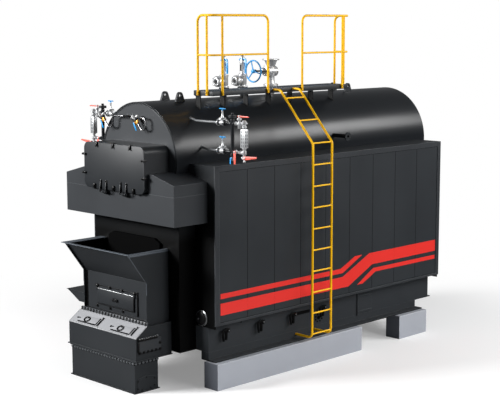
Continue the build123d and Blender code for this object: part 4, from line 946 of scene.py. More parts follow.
for side in (-1, 1):
    outward = side * rightward
    for back in spaced(-0.868, -0.560, 9):
        hatch_bolts.append((spot(side * hatch_face, back, 0.728), outward))
        hatch_studs.append((spot(side * hatch_face, back + 0.016, 0.743), outward))
    for back in spaced(-0.849, -0.503, 6):
        hatch_bolts.append((spot(side * hatch_face, back, 0.556), outward))
    hatch_bolts.append((spot(side * hatch_face, -0.504, 0.643), outward))
fasteners("hatch_bolts", hatch_bolts, 0.029, black_steel, "boiler", "dark_steel")
fasteners("hatch_studs", hatch_studs, 0.015, bright_steel, "boiler", "dark_steel")
hatch_bars = bmesh.new()
for side in (-1, 1):
    plate(hatch_bars, (0.736, 0, 0), (0.012, 0, 0), oblong(-0.884, -0.862, 0.566, 0.702), side)
piece("hatch_bars", hatch_bars, black_steel, "boiler", "dark_steel", soften=0.002)

# Sloped cover: a light grey plate over the front of the housing, screwed along all its
# edges, with two inspection lids that turn on a pin beside each of them.
cover_light = paint(
    "cover_light_grey", (0.34, 0.345, 0.36), 0.42, broad=2.5, spread=0.05,
    edge=(0.70, 0.71, 0.72), rounding=0.008,
)
coat(cover_light, "sloped_cover")
cover_foot = spot(0, -0.911, 0.753)
cover_slope = math.atan2(0.890 - 0.753, 0.911 - 0.714)
cover_along = Vector((0, math.cos(cover_slope), math.sin(cover_slope)))
cover_out = Vector((0, -math.sin(cover_slope), math.cos(cover_slope)))
cover_skin = 0.010


def on_cover(across, along, out=cover_skin):
    """A point over the sloped cover: across, up its slope and out from its underside."""
    return cover_foot + Vector((across, 0, 0)) + along * cover_along + out * cover_out


cover_screws = [(on_cover(across, along), cover_out)
                for across in spaced(-0.705, 0.705, 24) for along in (0.012, 0.228)]
cover_screws += [(on_cover(across, along), cover_out)
                 for across in (-0.716, 0.716) for along in spaced(0.012, 0.228, 6)[1:-1]]
fasteners("cover_screws", cover_screws, 0.011, cover_light, "boiler", "grey_cover_paint",
          tall=0.45)
for middle, lid_name in ((-0.344, "left"), (0.384, "right")):
    lid_body = f"inspection_lid_{lid_name}"
    lid = bmesh.new()
    slab(lid, [on_cover(middle + across, along, 0.011) for across, along in (
        (-0.208, 0.030), (0.208, 0.030), (0.208, 0.153), (-0.208, 0.153),
    )], 0.008 * cover_out)
    piece(f"lid_plate_{lid_name}", lid, cover_light, lid_body, "grey_cover_paint", lid_body,
          soften=0.002)
    dark = bmesh.new()
    turned(dark, on_cover(middle + 0.222, 0.026, 0.018), cover_along, [
        (0, 0.006), (0.002, 0.008), (0.144, 0.008), (0.146, 0.006)], 16)
    turned(dark, on_cover(middle + 0.222, 0.168, 0.018), cover_along, [
        (0, 0.008), (0.004, 0.013), (0.014, 0.013), (0.018, 0.008)], 16)
    slab(dark, [on_cover(middle + across, along, 0.0185) for across, along in (
        (-0.206, 0.026), (0.192, 0.026), (0.192, 0.158), (0.178, 0.158), (0.178, 0.044),
        (-0.206, 0.044),
    )], 0.006 * cover_out)
    ring_centre = on_cover(middle - 0.052, 0.0915, 0.0265)
    rounds = []
    for step in range(28):
        turn = 2 * math.pi * step / 28
        over, along = math.cos(turn) * rightward, math.sin(turn) * cover_along
        rounds.append([
            dark.verts.new(
                ring_centre + 0.050 * over + 0.040 * along
                + 0.0095 * math.cos(bend) * (over + along) + 0.0080 * math.sin(bend) * cover_out
            )
            for bend in (2 * math.pi * number / 8 for number in range(8))
        ])
    for lower, upper in zip(rounds, rounds[1:] + rounds[:1]):
        for number in range(8):
            after = (number + 1) % 8
            dark.faces.new((lower[number], lower[after], upper[after], upper[number]))
    turned(dark, on_cover(middle - 0.052, 0.121, 0.019), cover_out, [
        (0, 0.012), (0.012, 0.012), (0.014, 0.008), (0.014, 0)], 16)
    piece(f"lid_fittings_{lid_name}", dark, black_steel, lid_body, "dark_steel")
    latch = bmesh.new()
    turned(latch, on_cover(middle - 0.262, 0.0915), cover_out, [
        (0, 0.012), (0.010, 0.012), (0.013, 0.008), (0.013, 0)], 16)
    slab(latch, [on_cover(middle + across, along, 0.0205) for across, along in (
        (-0.264, 0.084), (-0.200, 0.086), (-0.194, 0.0915), (-0.200, 0.097), (-0.264, 0.099),
    )], 0.003 * cover_out)
    piece(f"lid_latch_{lid_name}", latch, black_steel, "boiler", "dark_steel")

# Ash box: the plate hopper under the grate front, hung from its flange by a close row of
# large hex bolts, with an arched raking door bolted shut on each side.
coat(charcoal, "ash_box")
bolt_steel = paint("bolt_steel", (0.085, 0.092, 0.100), 0.4, broad=9, edge=(0.20, 0.21, 0.22),
                   rounding=0.002)
flange_height = 0.412
flange_bolts = [(spot(across, -0.906, flange_height), frontward)
                for across in spaced(-0.662, 0.662, 23)]
flange_bolts += [(spot(side * 0.689, back, flange_height), side * rightward)
                 for side in (-1, 1) for back in spaced(-0.884, -0.514, 7)]
fasteners("flange_bolts", flange_bolts, 0.028, bolt_steel, "boiler", "dark_steel")
# Painted shade: a black strip on the flange behind the bolt heads.
flange_shade_strip = bmesh.new()
plate(flange_shade_strip, (0, -0.9045, 0), (0, -0.0015, 0), oblong(-0.687, 0.687, 0.388, 0.4295))
for side in (-1, 1):
    plate(flange_shade_strip, (0.6875, 0, 0), (0.0015, 0, 0), oblong(-0.904, -0.500, 0.388, 0.4295),
          side)
piece("flange_shade_strip", flange_shade_strip, dark_shade, "boiler", "dark_steel")
foot_plate = 0.012
foot_bolts = [(spot(across, -0.911, foot_plate), upward) for across in spaced(-0.660, 0.660, 14)]
foot_bolts += [(spot(side * 0.694, back, foot_plate), upward)
               for side in (-1, 1) for back in spaced(-0.870, -0.530, 5)]
fasteners("foot_bolts", foot_bolts, 0.014, black_steel, "boiler", "dark_steel")
door_bolts = [
    (spot(side * 0.693, back, height), side * rightward) for side in (-1, 1)
    for back, height in (
        (-0.850, 0.060), (-0.850, 0.160), (-0.565, 0.060), (-0.565, 0.160), (-0.7075, 0.196),
        (-0.780, 0.040), (-0.635, 0.040),
    )
]
fasteners("ash_door_bolts", door_bolts, 0.016, black_steel, "boiler", "dark_steel")


# Walkway: a deck along the right of the drum, made of folded channels under a thin tread
# plate with raised lozenges, on shaped webs that stand on the drum.
deck_blue = paint("deck_blue_grey", (0.055, 0.070, 0.090), 0.5, broad=3, spread=0.08,
                  edge=(0.12, 0.14, 0.17))
deck_inner, deck_outer = 0.313, 0.700
deck_front, deck_rear = 0.527, 3.325
deck_foot, deck_top = 3.880, 3.950
plate_thickness = 0.006
channel_flange = 0.042
deck_middle = (deck_inner + deck_outer) / 2
channels = bmesh.new()
channel = (
    (0, deck_foot), (0, 3.944), (-channel_flange, 3.944), (-channel_flange, 3.939),
    (-0.006, 3.939), (-0.006, 3.886), (-channel_flange, 3.886), (-channel_flange, deck_foot),
)
for edge, way in ((deck_outer, 1), (deck_inner, -1)):
    slab(channels, [spot(edge + way * inset, deck_front, height) for inset, height in channel],
         (deck_rear - deck_front) * backward)
for edge, way in ((deck_front, -1), (deck_rear, 1)):
    slab(channels, [spot(deck_inner + 0.0065, edge + way * inset, height)
                    for inset, height in channel],
         (deck_outer - deck_inner - 0.013) * rightward)
piece("deck_channels", channels, charcoal, "boiler", "charcoal_paint", "walkway_deck",
      soften=0.0015)
deck_sheet = bmesh.new()
plate(deck_sheet, (0, 0, deck_top - plate_thickness), (0, 0, plate_thickness),
      oblong(deck_inner, deck_outer, deck_front, deck_rear))
piece("deck_sheet", deck_sheet, deck_blue, "boiler", "deck_paint", "walkway_deck",
      soften=0.0015)

lozenge_pitch = 0.052
tread_tree, tread_in, tread_out = tree_with(
    "tread_lozenges", Columns=("Int", 7), Rows=("Int", 53), Pitch=("Float", lozenge_pitch),
    Length=("Float", 0.030), Width=("Float", 0.008), Rise=("Float", 0.0016),
    Coating=("Material", None),
)
lozenge_size = node(tread_tree, "ShaderNodeCombineXYZ", X=tread_in.outputs["Length"],
                    Y=tread_in.outputs["Width"], Z=tread_in.outputs["Rise"])
lozenge = node(tread_tree, "GeometryNodeMeshCube", Size=lozenge_size.outputs[0])
all_lozenges = node(tread_tree, "GeometryNodeJoinGeometry")
for turn, offset in ((45, 0), (-45, 0.5)):
    moved_grid = node(
        tread_tree, "GeometryNodeTransform", Geometry=even_grid(tread_tree, tread_in),
        Translation=scaled(tread_tree, (offset, offset, 0), tread_in.outputs["Pitch"]),
    )
    placed = node(
        tread_tree, "GeometryNodeInstanceOnPoints", Points=moved_grid.outputs[0],
        Instance=lozenge.outputs["Mesh"], Rotation=(0, 0, math.radians(turn)),
    )
    tread_tree.links.new(placed.outputs[0], all_lozenges.inputs[0])
settle(tread_tree, all_lozenges.outputs[0], tread_in.outputs["Coating"], tread_out)
tread = bmesh.new()
tread_place = spot(deck_middle - lozenge_pitch / 4,
                   (deck_front + deck_rear) / 2 - lozenge_pitch / 4, deck_top + 0.0006)
grow(tread, tread_tree, bpy.data.meshes.new("tread_seed"), Matrix.Translation(tread_place),
     Coating=deck_blue)
piece("deck_tread", tread, deck_blue, "boiler", "deck_paint")
# Painted shade: the webs under the deck are near black.
support_shade_black = paint("support_shade_black", (0.0035, 0.0038, 0.004), 0.5, specular=0.15)
coat(support_shade_black, "walkway_supports")

# Railings: bent tube in traffic yellow, bolted to the sides of the deck, with a thinner
# middle rail. The gap between the two is where the ladder comes up.
rail_yellow = paint("rail_yellow", (0.96, 0.52, 0.001), 0.35, broad=4, spread=0.02,
                    specular=0.25)
tube_tree, tube_in, tube_out = tree_with(
    "bent_tube", Diameter=("Float", 0.034), Bend=("Float", 0.09), Sides=("Int", 20),
    Coating=("Material", None),
)
centreline = node(tube_tree, "GeometryNodeMeshToCurve", Mesh=tube_in.outputs["Geometry"])
bends = node(tube_tree, "GeometryNodeFilletCurve", Limit_Radius=True,
             Curve=centreline.outputs[0], Radius=tube_in.outputs["Bend"])
bends.mode = "POLY"
bends.inputs["Count"].default_value = 9
tube_round = node(
    tube_tree, "GeometryNodeCurvePrimitiveCircle", Resolution=tube_in.outputs["Sides"],
    Radius=half(tube_tree, tube_in.outputs["Diameter"]),
)
drawn = node(tube_tree, "GeometryNodeCurveToMesh", Fill_Caps=True, Curve=bends.outputs[0],
             Profile_Curve=tube_round.outputs["Curve"])
settle(tube_tree, drawn.outputs[0], tube_in.outputs["Coating"], tube_out)


def bent(shape, routes, diameter, bend, coating, sides=20):
    """Add round tubes or bars to a shape, each along a route of points with bent corners."""
    points, runs = [], []
    for route in routes:
        runs += [(len(points) + step, len(points) + step + 1) for step in range(len(route) - 1)]
        points += route
    seed = bpy.data.meshes.new("route")
    seed.from_pydata(points, runs, [])
    grow(shape, tube_tree, seed, Diameter=diameter, Bend=bend, Sides=sides, Coating=coating)


rail_tube, rail_bend = 0.034, 0.095
rail_line = 0.717
rail_top, rail_mid, post_foot = 4.975, 4.437, 3.886
end_far, end_near = 0.421, 0.604
post_radius = 0.0165
lug_heights = (3.900, 3.930)
for name, end_back, far_back, near_back in (
    ("railing_front", 0.510, 1.584, 0.695), ("railing_rear", 3.342, 2.295, 3.180),
):
    rails = bmesh.new()
    bent(rails, [[
        spot(end_far, end_back, post_foot), spot(end_far, end_back, rail_top),
        spot(rail_line, end_back, rail_top), spot(rail_line, far_back, rail_top),
        spot(rail_line, far_back, post_foot),
    ]], rail_tube, rail_bend, rail_yellow)
    bent(rails, [[
        spot(end_far, end_back, rail_mid), spot(rail_line, end_back, rail_mid),
        spot(rail_line, far_back, rail_mid),
    ]], 0.027, rail_bend, rail_yellow)
    bent(rails, [
        [spot(end_near, end_back, post_foot), spot(end_near, end_back, rail_top)],
        [spot(rail_line, near_back, post_foot), spot(rail_line, near_back, rail_top)],
    ], 2 * post_radius, 0.01, rail_yellow)
    piece(f"{name}_tubes", rails, rail_yellow, "boiler", "yellow_paint", name, crease=50)
    way = -1 if end_back < far_back else 1
    lugs = [(spot(rail_line + post_radius, back, height), rightward)
            for back in (far_back, near_back) for height in lug_heights]
    lugs += [(spot(across, end_back + way * post_radius, height), way * backward)
             for across in (end_far, end_near) for height in lug_heights]
    fasteners(f"{name}_bolts", lugs, 0.013, rail_yellow, "boiler", "yellow_paint")

# Ladder: two bent tube stiles from the deck down to the sill, with round rungs welded
# between them, in the same yellow.
stile_x, stile_half = 1.466, 0.189
ladder_back = 1.924
front_stile = 0.020
ladder_head, ladder_bend_x = 3.926, 0.830
ladder_knee, ladder_foot = 3.198, 0.430
stiles = bmesh.new()
bent(stiles, [[
    spot(deck_outer, stile_back, ladder_head), spot(ladder_bend_x, stile_back, ladder_head),
    spot(stile_x, stile_back, ladder_knee), spot(stile_x, stile_back, ladder_foot),
    spot(chassis_side, stile_back, ladder_foot),
] for stile_back in (ladder_back - stile_half - front_stile, ladder_back + stile_half)],
     rail_tube, 0.070, rail_yellow)
piece("ladder_stiles", stiles, rail_yellow, "boiler", "yellow_paint", "ladder", crease=50)

rung_tree, rung_in, rung_out = tree_with(
    "ladder_rungs", Diameter=("Float", 0.022), Half_length=("Float", stile_half + front_stile / 2),
    Coating=("Material", None),
)
rung = node(
    rung_tree, "GeometryNodeMeshCylinder", Vertices=16,
    Radius=half(rung_tree, rung_in.outputs["Diameter"]),
    Depth=worked_out(rung_tree, "MULTIPLY", rung_in.outputs["Half_length"], 2),
)
rungs_placed = node(
    rung_tree, "GeometryNodeInstanceOnPoints", Points=rung_in.outputs["Geometry"],
    Instance=rung.outputs["Mesh"], Rotation=(math.pi / 2, 0, 0),
)
settle(rung_tree, rungs_placed.outputs[0], rung_in.outputs["Coating"], rung_out)
rung_points = []
lowest_rung, rung_pitch = 0.480, 0.303
for number in range(12):
    height = lowest_rung + number * rung_pitch
    lean = max(0, (height - ladder_knee) / (ladder_head - ladder_knee))
    rung_points.append(spot(
        stile_x + lean * (ladder_bend_x - stile_x), ladder_back - front_stile / 2, height
    ))
rung_seed = bpy.data.meshes.new("rung_places")
rung_seed.from_pydata(rung_points, [], [])
rungs = bmesh.new()
grow(rungs, rung_tree, rung_seed, Coating=rail_yellow)
piece("ladder_bars", rungs, rail_yellow, "boiler", "yellow_paint", "ladder_rungs")


# Lifting lugs and side nozzle: thick ears with an eye, and a short flanged branch, all
# welded to the drum and painted with it.
coat(charcoal, "lifting_lugs", "side_nozzle")

# Safety valves: two spring valves in aluminium paint, turned in steps, bolted to black
# stubs on the drum. Each has a side outlet and a blue cap with an easing lever.
valve_silver = paint("valve_silver", (0.55, 0.56, 0.57), 0.36, broad=9, spread=0.08,
                     metallic=0.55, rounding=0.0015, edge=(0.75, 0.76, 0.77))
handle_blue = paint("handle_blue", (0.022, 0.33, 0.76), 0.36, broad=8, spread=0.05,
                    rounding=0.001)
dark_bore = paint("dark_bore", (0.004, 0.004, 0.004), 0.8)
drum_crown = 3.795
valve_seat, outlet_height = 3.940, 4.034
for name, back in (("safety_valve_front", 1.404), ("safety_valve_rear", 1.780)):
    stub = bmesh.new()
    turned(stub, spot(0, back, drum_crown), upward, [
        (0, 0.038), (0.128, 0.038), (0.130, 0.075), (0.144, 0.075), (0.144, 0)], 32)
    piece(f"{name}_stub", stub, charcoal, "boiler", "valve_metal", name, soften=0.001)
    body = bmesh.new()
    turned(body, spot(0, back, valve_seat + 0.001), upward, [
        (0, 0.075), (0.014, 0.075), (0.016, 0.048), (0.024, 0.046), (0.034, 0.056),
        (0.046, 0.061), (0.160, 0.061), (0.164, 0.068), (0.176, 0.068), (0.180, 0.050),
        (0.196, 0.044), (0.206, 0.041), (0.346, 0.039), (0.350, 0.043), (0.360, 0.043),
        (0.364, 0.034), (0.430, 0.034), (0.446, 0.028), (0.456, 0.016), (0.458, 0)], 32)
    turned(body, spot(0, back, outlet_height), frontward, [
        (0, 0.048), (0.050, 0.048), (0.078, 0.054), (0.094, 0.068), (0.114, 0.077),
        (0.140, 0.079), (0.158, 0.072), (0.168, 0.058), (0.172, 0.040), (0.168, 0.036),
        (0.120, 0.035), (0.120, 0)], 32)
    piece(f"{name}_body", body, valve_silver, "boiler", "valve_metal", name, soften=0.001)
    dark = bmesh.new()
    turned(dark, spot(0, back, outlet_height), frontward, [
        (0.118, 0.0345), (0.121, 0.0345), (0.121, 0)], 24)
    for way in (-1, 1):
        plate(dark, (0, back + way * 0.0405, 0), (0, way * -0.004, 0),
              oblong(-0.013, 0.013, 4.165, 4.268))
    piece(f"{name}_windows", dark, dark_bore, "boiler", "dark_steel")
    cap = bmesh.new()
    turned(cap, spot(0, back, 4.340), upward, [
        (0, 0.036), (0.003, 0.042), (0.016, 0.042), (0.019, 0.034), (0.019, 0)], 24)
    plate(cap, (0, back - 0.012, 0), (0, 0.024, 0), (
        (-0.062, 4.336), (-0.050, 4.352), (0.046, 4.360), (0.066, 4.352), (0.078, 4.330),
        (0.080, 4.240), (0.078, 4.142), (0.060, 4.142), (0.060, 4.240), (0.056, 4.320),
        (0.046, 4.334), (-0.040, 4.334), (-0.056, 4.322),
    ))
    piece(f"{name}_cap", cap, handle_blue, "boiler", "valve_paint", soften=0.001)
    flange_nuts = (
        bolt_circle(spot(0, back, valve_seat + 0.015), upward, 0.060, 4)
        + bolt_circle(spot(0, back - 0.172, outlet_height), frontward, 0.062, 4)
        + bolt_circle(spot(0, back, valve_seat + 0.177), upward, 0.058, 6, start=0)
    )
    fasteners(f"{name}_nuts", flange_nuts, 0.015, bright_steel, "boiler", "dark_steel")

# Steam valve: a cast globe valve in aluminium paint, lying on its bonnet's side, with a
# black iron yoke and a blue hand wheel on a bright spindle.
iron_brown = paint("yoke_iron", (0.016, 0.011, 0.009), 0.5, edge=(0.05, 0.04, 0.035))
steam_back, steam_axis = 2.375, 4.161
steam = bmesh.new()
turned(steam, spot(0, steam_back, drum_crown), upward, [
    (0, 0.052), (0.124, 0.052), (0.126, 0.110), (0.143, 0.110), (0.144, 0.106), (0.146, 0.106),
    (0.147, 0.110), (0.164, 0.110), (0.166, 0.060), (0.280, 0.056), (0.300, 0.062),
    (0.350, 0.068), (0.410, 0.060), (0.426, 0.058), (0.450, 0.068), (0.484, 0.082),
    (0.510, 0.092), (0.521, 0.096), (0.522, 0.128),
    (0.541, 0.128), (0.541, 0.051), (0.530, 0.050), (0.440, 0.050), (0.440, 0)], 48)
turned(steam, spot(0, steam_back, steam_axis - 0.008), backward, [
    (-0.090, 0.066), (-0.086, 0.072), (0.060, 0.072), (0.074, 0.070), (0.078, 0.076),
    (0.090, 0.076), (0.094, 0.066), (0.104, 0.050), (0.108, 0.030), (0.108, 0)], 40)
turned(steam, spot(0, steam_back, steam_axis), frontward, [
    (0.020, 0.078), (0.092, 0.066), (0.102, 0.064), (0.103, 0.078), (0.121, 0.078),
    (0.122, 0.070), (0.138, 0.070), (0.140, 0.050), (0.172, 0.036), (0.190, 0.032),
    (0.192, 0.026), (0.206, 0.026), (0.206, 0)], 36)
piece("steam_valve_body", steam, valve_silver, "boiler", "valve_metal", "steam_valve",
      soften=0.001)
yoke = bmesh.new()
for side in (-1, 1):
    slab(yoke, [spot(side * across, steam_back - out, steam_axis - 0.012) for across, out in (
        (0.036, 0.138), (0.054, 0.138), (0.056, 0.200), (0.050, 0.310), (0.040, 0.343),
        (0.022, 0.345), (0.020, 0.330), (0.034, 0.318), (0.042, 0.200),
    )], Vector((0, 0, 0.024)))
turned(yoke, spot(0, steam_back, steam_axis), frontward, [
    (0.322, 0.020), (0.326, 0.026), (0.342, 0.026), (0.346, 0.020), (0.346, 0)], 24)
piece("steam_valve_yoke", yoke, iron_brown, "boiler", "dark_steel", "steam_valve",
      soften=0.003)
spindle = bmesh.new()
turned(spindle, spot(0, steam_back, steam_axis), frontward, [
    (0.206, 0.0125), (0.383, 0.0125), (0.384, 0.0115), (0.384, 0)], 20)
piece("steam_valve_spindle", spindle, bright_steel, "boiler", "dark_steel", "steam_valve")
steam_nuts = (
    bolt_circle(spot(0, steam_back, 3.959), upward, 0.086, 8)
    + bolt_circle(spot(0, steam_back - 0.138, steam_axis), frontward, 0.062, 6)
)
fasteners("steam_valve_nuts", steam_nuts, 0.018, bright_steel, "boiler", "dark_steel")
steam_dark = bmesh.new()
turned(steam_dark, spot(0, steam_back, 4.232), upward, [
    (0, 0.049), (0.004, 0.049), (0.004, 0)], 24)
for hole, outward in bolt_circle(spot(0, steam_back, 4.3345), upward, 0.105, 8):
    turned(steam_dark, hole, outward, [(0, 0.009), (0.0018, 0.009), (0.0018, 0)], 12)
piece("steam_valve_bores", steam_dark, dark_bore, "boiler", "dark_steel")

wheel_back, wheel_radius, rim_thick = steam_back - 0.370, 0.1575, 0.0115
wheel = bmesh.new()
turned(wheel, spot(0, wheel_back, steam_axis), backward, [
    (rim_thick * math.sin(math.radians(turn)),
     wheel_radius + rim_thick * math.cos(math.radians(turn)))
    for turn in range(0, 360, 30)
], 64, ring=True)
turned(wheel, spot(0, wheel_back - 0.016, steam_axis), backward, [
    (0, 0.0145), (0, 0.027), (0.002, 0.029), (0.028, 0.029), (0.030, 0.027), (0.030, 0.0145),
], 24, ring=True)
turned(wheel, spot(0, wheel_back - 0.0155, steam_axis), frontward, [
    (0, 0.027), (0.006, 0.027), (0.011, 0.020), (0.012, 0)], 24)
for number in range(3):
    turn = math.radians(107 + 120 * number)
    outward = Vector((math.cos(turn), 0, math.sin(turn)))
    turned(wheel, spot(0, wheel_back, steam_axis) + 0.020 * outward, outward, [
        (0, 0.011), (0.060, 0.0085), (0.137, 0.010)], 12)
piece("steam_hand_wheel", wheel, handle_blue, "steam_wheel", "wheel_paint", "steam_wheel",
      crease=50)

# Water gauges: on each side of the drum, two pipes with a globe valve each carry a black
# standpipe and a framed reflex glass between two cocks with red levers.
pipe_grey = paint("pipe_grey", (0.20, 0.21, 0.22), 0.4, broad=7, edge=(0.32, 0.33, 0.34),
                  rounding=0.001)
handle_red = paint("handle_red", (0.92, 0.14, 0.10), 0.4, broad=8, spread=0.05,
                   rounding=0.001)
reflex_glass = paint("reflex_glass", (0.17, 0.18, 0.19), 0.12, specular=0.6)
column_grey = paint("column_grey", (0.022, 0.024, 0.027), 0.3, edge=(0.10, 0.11, 0.12),
                    specular=0.5)
gauge_back = 0.250
gauge_heights = (3.192, 3.566)
pipe_sag = 0.019
valve_x, column_x, glass_x = 1.180, 1.370, 1.590
slot_pitch = 0.0456
slot = (
    (-0.004, 0), (0.004, 0), (0.008, 0.009), (0.008, 0.024), (0.004, 0.033), (-0.004, 0.033),
    (-0.008, 0.024), (-0.008, 0.009),
)
for side, side_name in both_sides:
    gauge_node = f"water_gauge_{side_name}"
    outward = side * rightward
    pipes, silver, black = bmesh.new(), bmesh.new(), bmesh.new()
    blue, red, glass = bmesh.new(), bmesh.new(), bmesh.new()
    for height in gauge_heights:
        level = height + pipe_sag
        root = math.sqrt(drum_radius ** 2 - (level - drum_axis) ** 2) - 0.015
        bent(pipes, [[spot(side * root, gauge_back, level),
                      spot(side * (root + 0.055), gauge_back, level),
                      spot(side * (root + 0.120), gauge_back, height),
                      spot(side * 1.100, gauge_back, height)]],
             0.030, 0.04, pipe_grey)
        turned(pipes, spot(side * (root + 0.012), gauge_back, level), outward, [
            (0, 0.024), (0.010, 0.020), (0.022, 0.0165), (0.022, 0.010)], 24)
        centre = spot(side * valve_x, gauge_back, height)
        turned(silver, centre - 0.082 * outward, outward, [
            (0, 0.040), (0.003, 0.045), (0.013, 0.045), (0.016, 0.022), (0.026, 0.020),
            (0.046, 0.030), (0.070, 0.037), (0.092, 0.034), (0.108, 0.022), (0.112, 0.045),
            (0.124, 0.045), (0.127, 0.022), (0.138, 0.022), (0.138, 0)], 28)
        turned(black, centre - 0.066 * outward, outward, [
            (0, 0.0215), (0.002, 0.034), (0.009, 0.034), (0.011, 0.0225)], 24)
        turned(black, centre + 0.052 * outward, outward, [
            (0, 0.040), (0.002, 0.047), (0.018, 0.047), (0.020, 0.024), (0.034, 0.024),
            (0.036, 0.028), (0.050, 0.028), (0.052, 0.016), (0.110, 0.016), (0.110, 0)], 28)
        turned(silver, centre, upward, [
            (0.014, 0.026), (0.044, 0.021), (0.047, 0.044), (0.050, 0.048), (0.063, 0.048),
            (0.066, 0.044), (0.068, 0.019), (0.084, 0.017), (0.100, 0.013), (0.146, 0.010),
            (0.148, 0.014), (0.158, 0.014), (0.158, 0)], 24)
        turned(blue, centre, upward, [
            (0.156, 0.008), (0.180, 0.008), (0.182, 0.014), (0.192, 0.014), (0.192, 0)], 16)
        turned(blue, centre + Vector((-0.057, 0, 0.184)), rightward, [
            (0, 0.006), (0.004, 0.0085), (0.110, 0.0085), (0.114, 0.006)], 12)
        bent(silver, [[spot(side * (column_x + 0.02), gauge_back, height),
                       spot(side * (glass_x + 0.01), gauge_back, height)]], 0.030, 0.01,
             valve_silver)
        turned(black, spot(side * (column_x + 0.022), gauge_back, height), outward, [
            (0, 0.026), (0.003, 0.031), (0.022, 0.031), (0.025, 0.026), (0.025, 0.012)], 6)
        turned(silver, spot(side * 1.428, gauge_back, height), outward, [
            (0, 0.018), (0.003, 0.028), (0.014, 0.028), (0.017, 0.018), (0.090, 0.018),
            (0.094, 0.028), (0.106, 0.028), (0.109, 0.018)], 6)
    low, high = gauge_heights
    turned(black, spot(side * column_x, gauge_back, low - 0.072), upward, [
        (0, 0.018), (0.004, 0.024), (0.516, 0.024), (0.518, 0.048), (0.520, 0.056),
        (0.534, 0.056), (0.536, 0.054), (0.538, 0.056), (0.552, 0.056), (0.554, 0.048),
        (0.554, 0)], 36)
    turned(black, spot(side * column_x, gauge_back, high + 0.108), upward, [
        (0, 0.020), (0.028, 0.020), (0.031, 0.015), (0.031, 0)], 6)
    for height in (low - 0.040, high + 0.040):
        turned(black, spot(side * column_x, gauge_back, height - 0.016), upward, [
            (0, 0.025), (0.003, 0.029), (0.029, 0.029), (0.032, 0.025)], 28)
    turned(silver, spot(side * glass_x, gauge_back, low - 0.128), upward, [
        (0, 0.010), (0.002, 0.016), (0.010, 0.018), (0.024, 0.013), (0.040, 0.013),
        (0.042, 0.028), (0.066, 0.028), (0.070, 0.018), (0.100, 0.018), (0.106, 0.030),
        (0.152, 0.030), (0.160, 0.019), (0.176, 0.019), (0.178, 0.030), (0.190, 0.030),
        (0.193, 0.018), (0.196, 0.018)], 28)
    turned(silver, spot(side * glass_x, gauge_back, high + 0.052), -upward, [
        (0, 0.010), (0.004, 0.022), (0.020, 0.030), (0.042, 0.046), (0.050, 0.046),
        (0.052, 0.022), (0.070, 0.022), (0.080, 0.033), (0.100, 0.033), (0.108, 0.020),
        (0.118, 0.020)], 28)
    middle = (low + high) / 2
    plate(silver, (glass_x, gauge_back, middle - 0.122), (0, 0, 0.244),
          oblong(-0.038, 0.038, -0.034, 0.034), side)
    for number in range(5):
        foot = middle - 0.110 + number * slot_pitch
        for column in (-0.015, 0.015):
            for way in (-1, 1):
                plate(glass, (side * (glass_x + column), gauge_back + way * 0.0338, foot),
                      (0, way * 0.001, 0), slot)
            plate(glass, (glass_x + 0.0378, gauge_back + column, foot), (0.001, 0, 0), slot,
                  side)
    cock_x = 1.498
    turned(silver, spot(side * cock_x, gauge_back, high - 0.066), upward, [
        (0, 0.012), (0.003, 0.020), (0.046, 0.020), (0.050, 0.028), (0.082, 0.028),
        (0.086, 0.018), (0.112, 0.018), (0.116, 0.031), (0.138, 0.031), (0.142, 0.014),
        (0.164, 0.013), (0.167, 0.017), (0.178, 0.017), (0.180, 0.010), (0.180, 0)], 20)
    plate(red, (0, gauge_back - 0.006, high), (0, 0.012, 0), (
        (1.472, 0.094), (1.486, 0.084), (1.530, 0.088), (1.668, 0.088), (1.678, 0.096),
        (1.668, 0.104), (1.530, 0.108), (1.486, 0.112), (1.472, 0.106),
    ), side)
    plate(red, (0, gauge_back - 0.032, low), (0, -0.008, 0), (
        (1.602, -0.066), (1.622, -0.088), (1.650, -0.088), (1.847, -0.054), (1.859, -0.044),
        (1.849, -0.033), (1.650, -0.040), (1.612, -0.046),
    ), side)
    turned(silver, spot(side * 1.634, gauge_back, low - 0.066), frontward, [
        (0, 0.016), (0.042, 0.016), (0.044, 0.011), (0.050, 0.011), (0.050, 0)], 20)
    turned(silver, spot(side * 1.548, gauge_back, low - 0.066), outward, [
        (0, 0.012), (0.003, 0.018), (0.016, 0.018), (0.018, 0.013), (0.096, 0.013),
        (0.096, 0)], 20)
    plate(red, (0, gauge_back - 0.032, low), (0, -0.008, 0), (
        (1.425, 0.012), (1.438, 0.020), (1.456, 0.020), (1.469, 0.012), (1.467, -0.060),
        (1.462, -0.150), (1.454, -0.159), (1.442, -0.159), (1.434, -0.150), (1.427, -0.060),
    ), side)
    turned(silver, spot(side * 1.447, gauge_back, low), frontward, [
        (0, 0.018), (0.038, 0.018), (0.040, 0.013), (0.048, 0.013), (0.050, 0.009),
        (0.050, 0)], 20)
    plate(blue, (column_x, gauge_back - 0.028, low), (0, -0.006, 0), (
        (-0.010, -0.074), (0.014, -0.070), (0.016, -0.082), (0.002, -0.092), (0.000, -0.156),
        (-0.006, -0.160), (-0.018, -0.160), (-0.020, -0.154), (-0.018, -0.090),
    ), side)
    turned(silver, spot(side * column_x, gauge_back, low - 0.120), upward, [
        (0, 0.008), (0.002, 0.012), (0.048, 0.012), (0.050, 0.017)], 20)
    piece(f"{gauge_node}_pipes", pipes, pipe_grey, "boiler", "valve_metal", gauge_node)
    piece(f"{gauge_node}_valves", silver, valve_silver, "boiler", "valve_metal", gauge_node,
          soften=0.001)
    piece(f"{gauge_node}_column", black, column_grey, "boiler", "dark_steel", gauge_node,
          soften=0.001)
    piece(f"{gauge_node}_stems", blue, handle_blue, "boiler", "valve_paint", gauge_node,
          soften=0.0008)
    piece(f"{gauge_node}_levers", red, handle_red, "boiler", "valve_paint", gauge_node,
          soften=0.0015)
    piece(f"{gauge_node}_glass", glass, reflex_glass, "boiler", "valve_metal", gauge_node)

